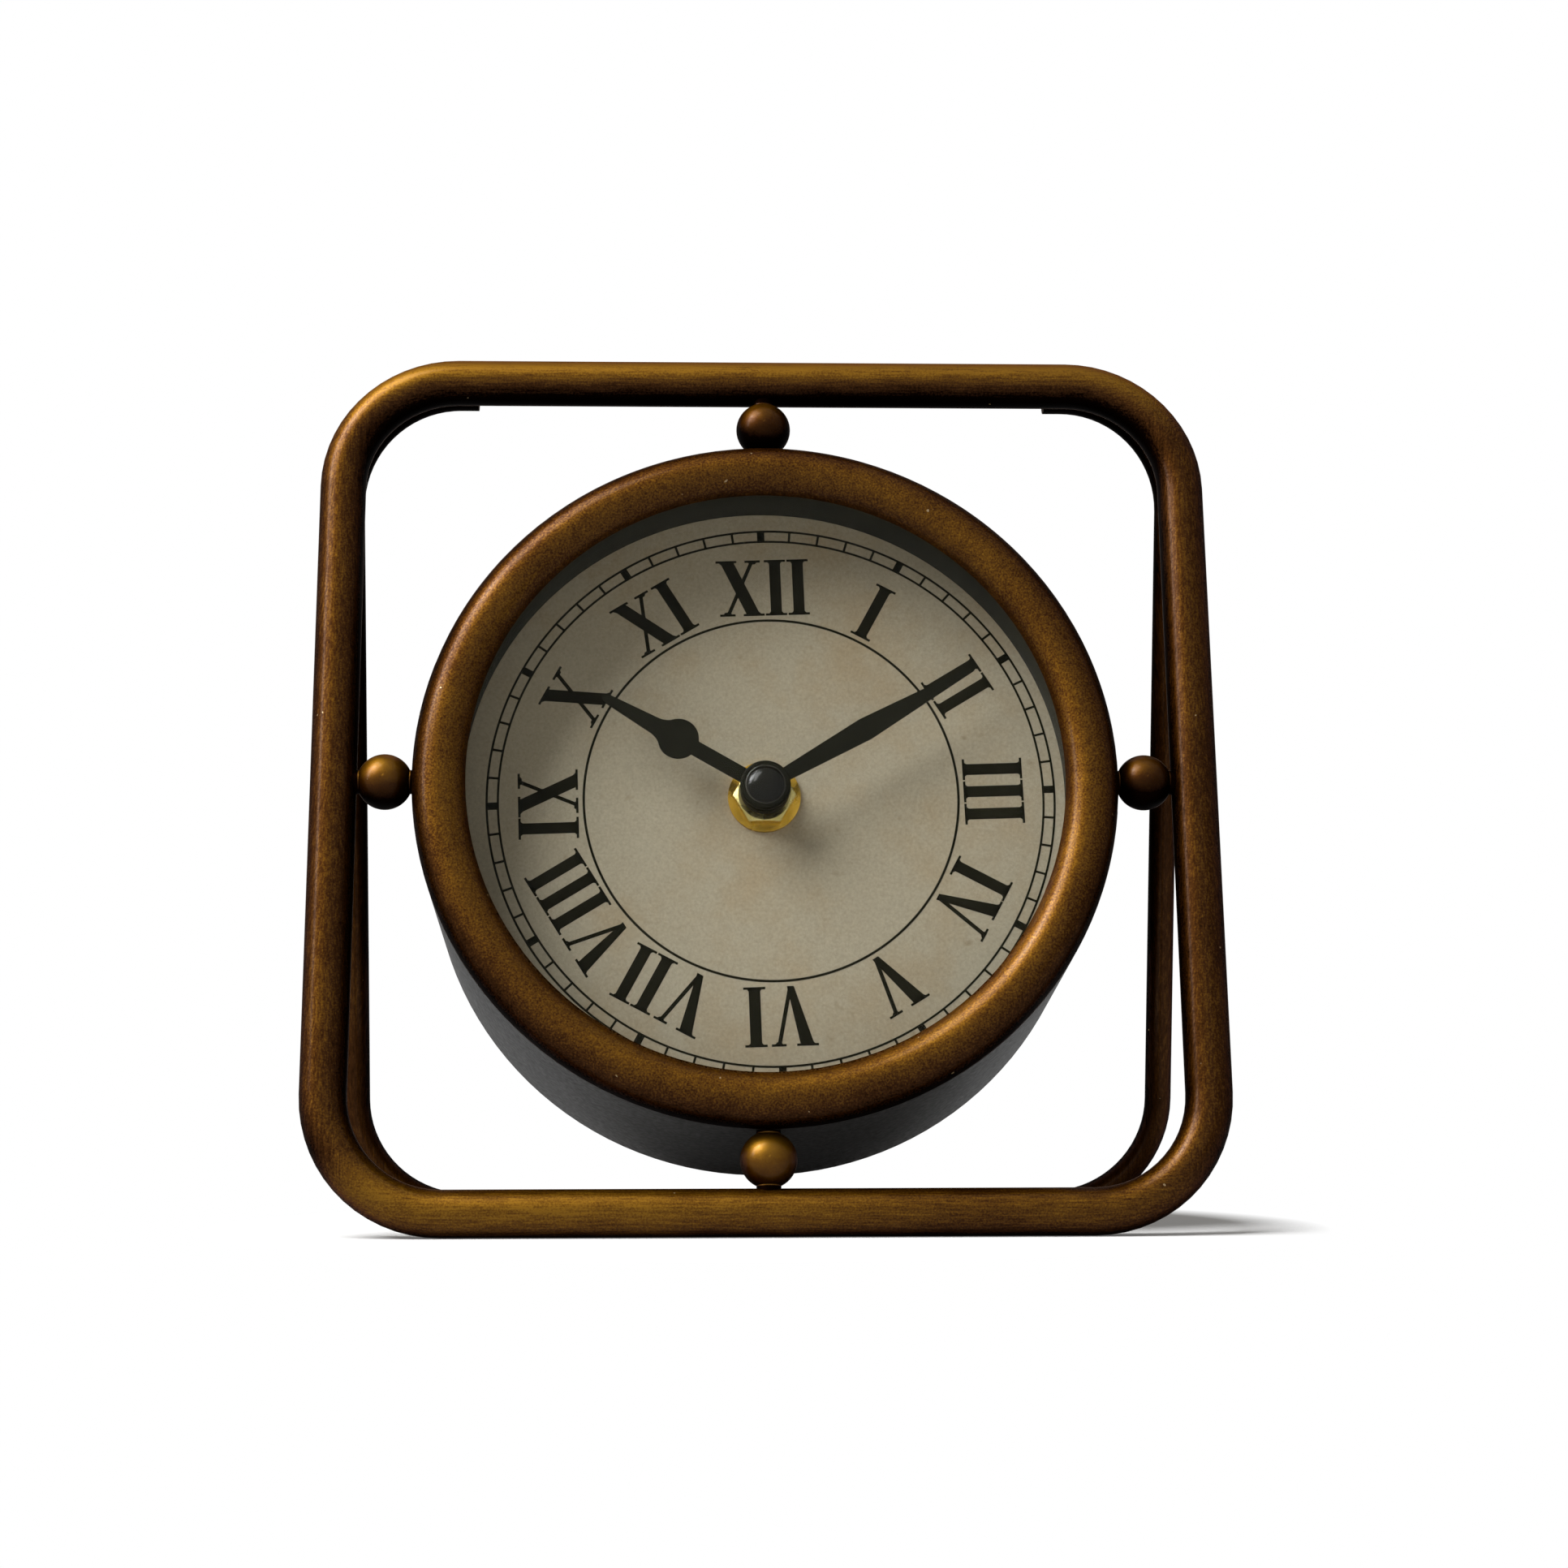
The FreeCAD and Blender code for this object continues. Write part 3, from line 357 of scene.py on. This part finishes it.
# Dial paper: stained, spotted and fibrous
paperLook = {
    "stainGrain": (34, 5, 0.6), "spotGrain": (240, 2, 0.5), "fibreGrain": (1500, 4, 0.8),
    "stains": [(0.34, (0.475, 0.375, 0.245)), (0.52, (0.500, 0.428, 0.312)), (0.70, (0.515, 0.450, 0.335))],
    "fibres": [(0.30, (0.74, 0.735, 0.72)), (0.68, (1, 1, 1))],
    "spot": (0.26, 0.19, 0.10), "spotFrom": (0.70, 0.78), "spotShare": 0.35,
    "bump": 0.25, "bumpDeep": 0.00005, "rough": 0.86, "sheen": 0.25,
}


def agedPaper(name):
    finish, tree, place = newFinish(name)
    fibres = grain(tree, place, *paperLook["fibreGrain"])
    spots = span(tree, grain(tree, place, *paperLook["spotGrain"]), *paperLook["spotFrom"])
    colour = ramp(tree, grain(tree, place, *paperLook["stainGrain"]), paperLook["stains"])
    colour = blendColour(tree, times(tree, spots, paperLook["spotShare"]), colour, paperLook["spot"])
    colour = blendColour(tree, 1.0, colour, ramp(tree, fibres, paperLook["fibres"]), "MULTIPLY")
    normal = bump(tree, fibres, paperLook["bump"], paperLook["bumpDeep"])
    shine(tree, {"Base Color": colour, "Roughness": paperLook["rough"], "Normal": normal,
                 "Specular IOR Level": paperLook["sheen"]})
    return finish


# Glass: smeared a little, and clear to light that only passes through
glassLook = {
    "colour": (0.97, 0.985, 0.98, 1), "through": (0.95, 0.965, 0.96, 1), "ior": 1.10,
    "smearGrain": (55, 3), "smearFrom": (0.45, 0.8), "smear": 0.05,
}


def clearGlass(name):
    finish, tree, place = newFinish(name)
    smear = grain(tree, place, *glassLook["smearGrain"])
    smear = span(tree, smear, *glassLook["smearFrom"], 0, glassLook["smear"])
    solid = addNode(tree, "BsdfPrincipled", {"Base Color": glassLook["colour"], "Roughness": smear,
                                             "IOR": glassLook["ior"], "Transmission Weight": 1.0})
    clear = addNode(tree, "BsdfTransparent", {"Color": glassLook["through"]})
    rays = addNode(tree, "LightPath")
    passing = calc(tree, "MAXIMUM", rays.outputs["Is Shadow Ray"], rays.outputs["Is Diffuse Ray"])
    both = addNode(tree, "MixShader", {0: passing, 1: solid.outputs["BSDF"], 2: clear.outputs["BSDF"]})
    addNode(tree, "OutputMaterial", {"Surface": both.outputs["Shader"]})
    return finish


# Battery: bands along its length, which lies across the clock
cellLook = {
    "half": 0.0255, "scuffGrain": (700, 3), "rough": (0.22, 0.36), "metal": 0.7,
    "bands": [(0.0, (0.45, 0.44, 0.42)), (0.02, (0.016, 0.016, 0.018)),
              (0.68, (0.30, 0.14, 0.045)), (0.955, (0.55, 0.54, 0.52))],
}


def cellWrap(name):
    finish, tree, place = newFinish(name)
    level = span(tree, along(tree, place, dialRight), -cellLook["half"], cellLook["half"])
    colour = ramp(tree, level, cellLook["bands"])
    colour.node.color_ramp.interpolation = "CONSTANT"
    rough = span(tree, grain(tree, place, *cellLook["scuffGrain"]), *noiseBand, *cellLook["rough"])
    shine(tree, {"Base Color": colour, "Metallic": cellLook["metal"], "Roughness": rough})
    return finish


# Coil: turns of enamelled wire, side by side across the clock
wireLook = {
    "pitch": 0.0003, "tones": [(0.1, (0.14, 0.035, 0.010)), (0.8, (0.50, 0.17, 0.06))],
    "metal": 0.8, "rough": 0.35, "bump": 0.6, "bumpDeep": 0.00008,
}


def woundWire(name):
    finish, tree, place = newFinish(name)
    turns = calc(tree, "SINE", times(tree, along(tree, place, dialRight), 2 * math.pi / wireLook["pitch"]))
    colour = ramp(tree, span(tree, turns, -1, 1), wireLook["tones"])
    normal = bump(tree, turns, wireLook["bump"], wireLook["bumpDeep"])
    shine(tree, {"Base Color": colour, "Metallic": wireLook["metal"], "Roughness": wireLook["rough"],
                 "Normal": normal})
    return finish


# Movement housing: black plastic, with a turned brass bush that starts at the housing's front
housingLook = {
    "bushFrom": -14.3, "step": 0.00002, "sparkGrain": (1600, 2), "low": (0.010, 0.010, 0.010),
    "high": (0.022, 0.022, 0.021), "brass": (0.50, 0.32, 0.08), "rough": (0.55, 0.28),
    "bump": 0.2, "bumpDeep": 0.00005,
}


def housingPlastic(name):
    finish, tree, place = newFinish(name)
    sparks = grain(tree, place, *housingLook["sparkGrain"])
    front = dialCentre.dot(dialOut) + housingLook["bushFrom"] * mm
    metal = span(tree, along(tree, place, dialOut), front, front + housingLook["step"])
    plastic = twoTone(tree, sparks, housingLook["low"], housingLook["high"])
    colour = blendColour(tree, metal, plastic, housingLook["brass"])
    rough = span(tree, metal, 0, 1, *housingLook["rough"])
    normal = bump(tree, sparks, housingLook["bump"], housingLook["bumpDeep"])
    shine(tree, {"Base Color": colour, "Metallic": metal, "Roughness": rough, "Normal": normal})
    return finish


# How much each bronze piece is rubbed and painted lit: in front, above, outside, all over (lift), in
# flecks, at the foot of the frame (painted floor light) and along the top bar (painted light). Each piece
# has its own settings, lit and shaded copies of one paint: painted light and shade.
barRubAndLight = {"front": 0.42, "up": 0.46, "out": 0.0, "lift": -0.10, "fleck": 0.13, "streaked": True,
           "foot": 0.36, "topBarLight": 0.22}
rodRubAndLight = {"front": 0.40, "up": 0.15, "out": 0.05, "lift": -0.02, "fleck": 0.05, "streaked": True}
bezelRubAndLight = {"front": 0.43, "up": 0.06, "out": -0.10, "lift": 0.06, "fleck": 0.18, "streaked": False}
ballRubAndLight = {"front": 0.34, "up": 0.40, "out": 0.0, "fleck": 0.03, "streaked": False}
# each ball a lighter or darker copy of one paint: painted light and shade, lightest on the bottom ball
ballPaintedLift = {"ball_top": -0.02, "ball_left": 0.14, "ball_right": -0.05, "ball_bottom": 0.30}

# Darkest and lightest colour, roughness, then metal, peel and sheen where they differ
caseEnamel = satinPaint("caseEnamel", (0.011, 0.0105, 0.0100), (0.019, 0.0182, 0.0174), 0.45, sheen=0.03)
spacerBlack = satinPaint("spacerBlack", (0.016, 0.0155, 0.011), (0.026, 0.025, 0.018), 0.6, sheen=0.1)
handBlack = satinPaint("handBlack", (0.0065, 0.0060, 0.0028), (0.0105, 0.0098, 0.0050), 0.55,
                       peel=2200, sheen=0.03)
capBlack = satinPaint("capBlack", (0.006, 0.0052, 0.0032), (0.010, 0.009, 0.0055), 0.14,
                      peel=2600, sheen=0.12)
# a lighter grey for the ring at the foot of the cap, a painted highlight
capHighlightGrey = satinPaint("capHighlightGrey", (0.030, 0.027, 0.020), (0.055, 0.050, 0.038), 0.22,
                       peel=2600, sheen=0.3)
blackPlastic = satinPaint("blackPlastic", (0.016, 0.016, 0.016), (0.030, 0.030, 0.029), 0.45, peel=1600)
whitePlastic = satinPaint("whitePlastic", (0.62, 0.61, 0.56), (0.72, 0.71, 0.67), 0.42, peel=1200)
platePrimer = satinPaint("platePrimer", (0.12, 0.115, 0.11), (0.17, 0.165, 0.155), 0.5, metal=0.3)
gasketRubber = satinPaint("gasketRubber", (0.012, 0.012, 0.012), (0.02, 0.02, 0.02), 0.75, peel=1800)
boardResin = satinPaint("boardResin", (0.20, 0.11, 0.035), (0.28, 0.16, 0.055), 0.4)
cardGrey = satinPaint("cardGrey", (0.50, 0.50, 0.50), (0.55, 0.55, 0.55), 0.8)
brightSteel = satinPaint("brightSteel", (0.42, 0.42, 0.42), (0.58, 0.58, 0.57), 0.26, metal=1.0)
ink = satinPaint("ink", (0.0110, 0.0098, 0.0052), (0.0180, 0.0160, 0.0092), 0.75, peel=2400, sheen=0.0)
washerBrass = turnedBrass("washerBrass", (0.380, 0.215, 0.022), (0.480, 0.290, 0.040))
nutBrass = turnedBrass("nutBrass", (0.300, 0.240, 0.080), (0.400, 0.330, 0.135))

finishes = {
    bronzePaint("barBronze", **barRubAndLight): ["front_frame"],
    bronzePaint("rodBronze", **rodRubAndLight): ["rear_leg"],
    bronzePaint("bezelBronze", **bezelRubAndLight): ["bezel"],
    caseEnamel: ["case_drum", "case_back", "seat_ring"],
    spacerBlack: ["spacer_ring"],
    handBlack: ["hour_hand", "minute_hand"],
    capBlack: ["cap_nut"],
    housingPlastic("housing"): ["movement_front"],
    blackPlastic: ["movement_back", "set_knob", "chip"],
    whitePlastic: ["motor_module", "coil_bobbin", "hour_wheel", "transfer_wheel"],
    platePrimer: ["dial_plate"],
    gasketRubber: ["gasket"],
    boardResin: ["circuit_board"],
    brightSteel: ["stator", "crystal", "contact_plus", "contact_minus"],
    washerBrass: ["brass_washer", "minute_arbor"],
    nutBrass: ["hex_nut"],
    agedPaper("paper"): ["dial_paper"],
    clearGlass("glass"): ["glass"],
    cellWrap("wrap"): ["battery"],
    woundWire("copper"): ["coil_winding"],
}
for ball, lift in ballPaintedLift.items():
    finishes[bronzePaint(ball + "Bronze", **ballRubAndLight, lift=lift, ball=ball)] = [ball]
for finish, wearers in finishes.items():
    for wearer in wearers:
        nodes[wearer].data.materials.clear()
        nodes[wearer].data.materials.append(finish)
print("finishes on", sum(len(wearers) for wearers in finishes.values()), "nodes")

# Dial print: minute track, hour numerals and the inner line, as a thin film of ink, in millimetres
dialPrint = {
    "film": 0.03, "trackOuter": 62.7, "trackInner": 60.25, "line": 0.48, "ringPoints": 240, "minutes": 60,
    "tick": 0.52, "block": 1.65, "innerLine": 41.5, "innerWide": 0.55, "base": 42.4, "tall": 13.2,
    "stem": 2.5, "thin": 0.9, "broad": 3.0, "gap": 0.3, "serif": 0.52, "serifReach": 1.15,
    "flare": 0.7, "flareTall": 0.6, "broadFoot": 0.8, "thinFoot": 1.3,
    "fiveHalf": 3.1, "fivePoint": 0.2, "pointShare": 0.5, "fiveRoom": 1.4, "tenHalf": 2.95, "tenRoom": 1.6,
    "across": 1.6, "turn": 1.85,
}
hours = ["XII", "I", "II", "III", "IV", "V", "VI", "VII", "VIII", "IX", "X", "XI"]


def thicken(piece):  # lifts a flat print to the film's thickness
    bpy.ops.mesh.select_all(action="SELECT")
    bpy.ops.mesh.extrude_region_move(TRANSFORM_OT_translate={"value": (0, 0, dialPrint["film"])})
    bpy.ops.object.mode_set(mode="OBJECT")
    closeMesh(piece)


def inkRing(name, outer, width):
    bpy.ops.mesh.primitive_circle_add(vertices=dialPrint["ringPoints"], radius=outer)
    piece = startPiece(name)
    inner = (outer - width) / outer
    bpy.ops.mesh.extrude_edges_move()
    bpy.ops.transform.resize(value=(inner, inner, 1), center_override=(0, 0, 0))
    thicken(piece)
    return piece


def emptyPiece(name):
    bpy.ops.mesh.primitive_plane_add(size=1)
    piece = startPiece(name)
    bpy.ops.mesh.delete(type="VERT")
    return piece


def stroke(piece, low, high):  # a flat stroke between two level ends, each given as x, y and width
    middle = ((low[0] + high[0]) / 2, (low[1] + high[1]) / 2, 0)
    bpy.ops.mesh.primitive_plane_add(size=1, location=middle)
    shape = bmesh.from_edit_mesh(piece.data)
    added = [point.index for point in shape.verts if point.select]
    for end, wanted in ((-1, low), (1, high)):
        shape = bmesh.from_edit_mesh(piece.data)
        shape.verts.ensure_lookup_table()
        for point in shape.verts:
            point.select_set(False)
        for index in added:
            point = shape.verts[index]
            point.select_set((point.co.y - middle[1]) * end > 0)
        shape.select_flush_mode()
        start = (middle[0], middle[1] + end / 2, 0)
        bpy.ops.transform.resize(value=(wanted[2], 1, 1), center_override=start)
        bpy.ops.transform.translate(value=(wanted[0] - start[0], wanted[1] - start[1], 0))


def foot(piece, x, y, width, end):  # serif bar with a flared neck, at the foot (-1) or the head (1)
    reach = width / 2 + dialPrint["serifReach"]
    inside = y - end * dialPrint["serif"]
    neck = inside - end * dialPrint["flare"] * dialPrint["flareTall"]
    bar = [(x, y, 2 * reach), (x, inside, 2 * reach)]
    flared = [(x, inside, width + dialPrint["flare"]), (x, neck, width)]
    for ends in (bar, flared):
        stroke(piece, *(ends if end < 0 else ends[::-1]))


def letterOne():
    piece = emptyPiece("one")
    tall, stem = dialPrint["tall"], dialPrint["stem"]
    stroke(piece, (0, 0, stem), (0, tall, stem))
    foot(piece, 0, 0, stem, -1)
    foot(piece, 0, tall, stem, 1)
    thicken(piece)
    return piece, stem + 2 * dialPrint["serifReach"]


def letterFive():
    piece = emptyPiece("five")
    tall, broad, thin = dialPrint["tall"], dialPrint["broad"], dialPrint["thin"]
    half, point = dialPrint["fiveHalf"], dialPrint["fivePoint"]
    stroke(piece, (point, 0, broad * dialPrint["pointShare"]), (-half, tall, broad))
    stroke(piece, (point, 0, thin), (half, tall, thin))
    foot(piece, -half, tall, broad * dialPrint["broadFoot"], 1)
    foot(piece, half, tall, thin, 1)
    thicken(piece)
    return piece, 2 * half + broad + dialPrint["fiveRoom"]


def letterTen():
    piece = emptyPiece("ten")
    tall, broad, thin = dialPrint["tall"], dialPrint["broad"], dialPrint["thin"]
    half = dialPrint["tenHalf"]
    stroke(piece, (half, 0, broad), (-half, tall, broad))
    stroke(piece, (-half, 0, thin), (half, tall, thin))
    for side, width in ((half, broad * dialPrint["broadFoot"]), (-half, thin * dialPrint["thinFoot"])):
        foot(piece, side, 0, width, -1)
        foot(piece, -side, tall, width, 1)
    thicken(piece)
    return piece, 2 * half + broad + dialPrint["tenRoom"]


letters = {"I": letterOne(), "V": letterFive(), "X": letterTen()}


def numeral(hour):
    word = hours[hour]
    wide = sum(letters[letter][1] for letter in word) + dialPrint["gap"] * (len(word) - 1)
    x = -wide / 2
    made = []
    for letter in word:
        pattern, room = letters[letter]
        twin = copyTurned(pattern, 0)
        twin.location = (x + room / 2, dialPrint["base"], 0)
        made.append(twin)
        x += room + dialPrint["gap"]
    whole = joinPieces(made, f"hour{hour}")
    whole.rotation_euler.z = -math.radians(360 / len(hours) * hour)
    return whole


def trackMark(name, wide):
    line = dialPrint["line"] / 2
    piece = emptyPiece(name)
    stroke(piece, (0, dialPrint["trackInner"] - line, wide), (0, dialPrint["trackOuter"] - line, wide))
    thicken(piece)
    return piece


track = [inkRing(name, dialPrint[name], dialPrint["line"]) for name in ("trackOuter", "trackInner")]
track += copies(trackMark("hourBlock", dialPrint["block"]), len(hours))
track += copies(trackMark("minuteTick", dialPrint["tick"]), dialPrint["minutes"])
prints = [joinPieces([numeral(hour) for hour in range(len(hours))], "dialNumerals"),
          joinPieces(track, "dialTrack"),
          inkRing("dialInnerLine", dialPrint["innerLine"], dialPrint["innerWide"])]
for pattern, room in letters.values():
    bpy.data.objects.remove(pattern)
for piece in prints:
    setOnDial(piece, frontOf("dial_paper"), dialPrint["across"], dialPrint["turn"])
    piece.data.materials.append(ink)
    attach(piece, "clock")
print("dial printed")

# Lighter ring around the foot of the cap, a painted highlight, on the face of the minute hand's boss, in
# millimetres
capRing = {"middle": 4.2, "wire": 0.2, "flat": 0.75, "sink": 0.03, "aroundDial": 96, "aroundWire": 12}


def addCapRing():
    bpy.ops.object.select_all(action="DESELECT")
    bpy.ops.mesh.primitive_torus_add(
        major_radius=capRing["middle"], minor_radius=capRing["wire"],
        major_segments=capRing["aroundDial"], minor_segments=capRing["aroundWire"])
    piece = startPiece("capRing")
    bpy.ops.mesh.select_all(action="SELECT")
    bpy.ops.transform.resize(value=(1, 1, capRing["flat"]), center_override=(0, 0, 0))
    bpy.ops.object.mode_set(mode="OBJECT")
    bpy.ops.object.shade_smooth()
    setOnDial(piece, frontOf("minute_hand") - capRing["sink"])
    piece.data.materials.append(capHighlightGrey)
    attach(piece, "minute_body")


addCapRing()
print("cap ring added")

# Floor, card, lamps and sky, in metres and watts
studio = {
    "floorSize": 8.0, "floorLow": (0.88, 0.88, 0.88), "floorHigh": (0.9, 0.9, 0.9), "floorGrain": (60, 2),
    "bounce": (0.58, 0.55, 0.51, 1), "floorGlow": 0.10, "plainFrom": (0.106, 0.124),
    "cardAt": (0.42, -0.10, 0.50), "cardSize": 1.2, "cardTurn": (0, -math.pi / 2, 0),
    "skyColour": (1.0, 0.95, 0.87, 1), "skyLight": 0.18, "aimAt": (0, -0.02, 0.09),
}
keyAt = (-0.95, -0.51, 1.37)
lamps = {
    "key": {"place": keyAt, "wide": 0.95, "tall": 1.30, "power": 42.0},
    "glint": {"place": (-1.38, -0.50, 1.05), "wide": 0.30, "tall": 1.20, "power": 20.0, "glossOnly": True},
    "spark": {"place": keyAt, "wide": 0.20, "tall": 0.20, "power": 10.0, "glossOnly": True},
}


def seenRays(tree):  # 1 for rays that show the background itself
    rays = addNode(tree, "LightPath")
    seen = calc(tree, "MAXIMUM", rays.outputs["Is Camera Ray"], rays.outputs["Is Glossy Ray"])
    return calc(tree, "MAXIMUM", seen, rays.outputs["Is Transmission Ray"])


# The floor turns plain white away from the clock, and bounces less light than it shows
def whiteFloor():
    bpy.ops.object.select_all(action="DESELECT")
    bpy.ops.mesh.primitive_plane_add(size=studio["floorSize"])
    floor = bpy.context.object
    floor.name = "floor"
    finish, tree, place = newFinish("floorPaint")
    speck = grain(tree, place, *studio["floorGrain"])
    colour = twoTone(tree, speck, studio["floorLow"], studio["floorHigh"])
    matt = addNode(tree, "BsdfDiffuse", {"Color": colour})
    glow = addNode(tree, "Emission", {"Strength": studio["floorGlow"]})
    near = addNode(tree, "AddShader", {0: matt.outputs["BSDF"], 1: glow.outputs["Emission"]})
    plain = addNode(tree, "Emission", {"Strength": 1.0})
    away = span(tree, reckon(tree, "LENGTH", "Value", place), *studio["plainFrom"])
    shown = addNode(tree, "MixShader", {0: away, 1: near.outputs["Shader"], 2: plain.outputs["Emission"]})
    dull = addNode(tree, "BsdfDiffuse", {"Color": studio["bounce"]})
    both = addNode(tree, "MixShader", {
        0: seenRays(tree), 1: dull.outputs["BSDF"], 2: shown.outputs["Shader"]})
    addNode(tree, "OutputMaterial", {"Surface": both.outputs["Shader"]})
    floor.data.materials.append(finish)


def lamp(name, place, wide, tall, power, glossOnly=False):
    light = bpy.data.lights.new(name, "AREA")
    light.shape = "RECTANGLE"
    light.size = wide
    light.size_y = tall
    light.energy = power
    stand = bpy.data.objects.new(name, light)
    bpy.context.collection.objects.link(stand)
    stand.location = place
    aim = Vector(studio["aimAt"]) - Vector(place)
    stand.rotation_euler = aim.to_track_quat("-Z", "Y").to_euler()
    stand.visible_diffuse = not glossOnly


# A grey card on the right, darker than the white around it and seen in reflections alone
def darkCard():
    bpy.ops.object.select_all(action="DESELECT")
    bpy.ops.mesh.primitive_plane_add(
        size=studio["cardSize"], location=studio["cardAt"], rotation=studio["cardTurn"])
    card = bpy.context.object
    card.name = "darkCard"
    card.data.materials.append(cardGrey)
    card.visible_camera = False
    card.visible_diffuse = False
    card.visible_shadow = False
    card.visible_transmission = False


def whiteSky():
    world = bpy.data.worlds.new("sky")
    bpy.context.scene.world = world
    world.use_nodes = True
    tree = world.node_tree
    tree.nodes.clear()
    soft = addNode(tree, "Background", {"Color": studio["skyColour"], "Strength": studio["skyLight"]})
    white = addNode(tree, "Background", {"Color": (1, 1, 1, 1), "Strength": 1.0})
    both = addNode(tree, "MixShader", {
        0: seenRays(tree), 1: soft.outputs["Background"], 2: white.outputs["Background"]})
    addNode(tree, "OutputWorld", {"Surface": both.outputs["Shader"]})


view = {"place": (-0.019378, -0.676366, 0.036138), "turn": (95.243, 0.130, -2.037),
        "lens": 69.55, "sensor": 36}


def addCamera():
    lens = bpy.data.cameras.new("camera")
    lens.lens = view["lens"]
    lens.sensor_width = view["sensor"]
    camera = bpy.data.objects.new("camera", lens)
    bpy.context.collection.objects.link(camera)
    camera.location = view["place"]
    camera.rotation_euler = [math.radians(angle) for angle in view["turn"]]
    bpy.context.scene.camera = camera


whiteFloor()
for name, light in lamps.items():
    lamp(name, **light)
darkCard()
whiteSky()
addCamera()
bpy.context.scene.view_settings.view_transform = "Standard"
print("studio set")
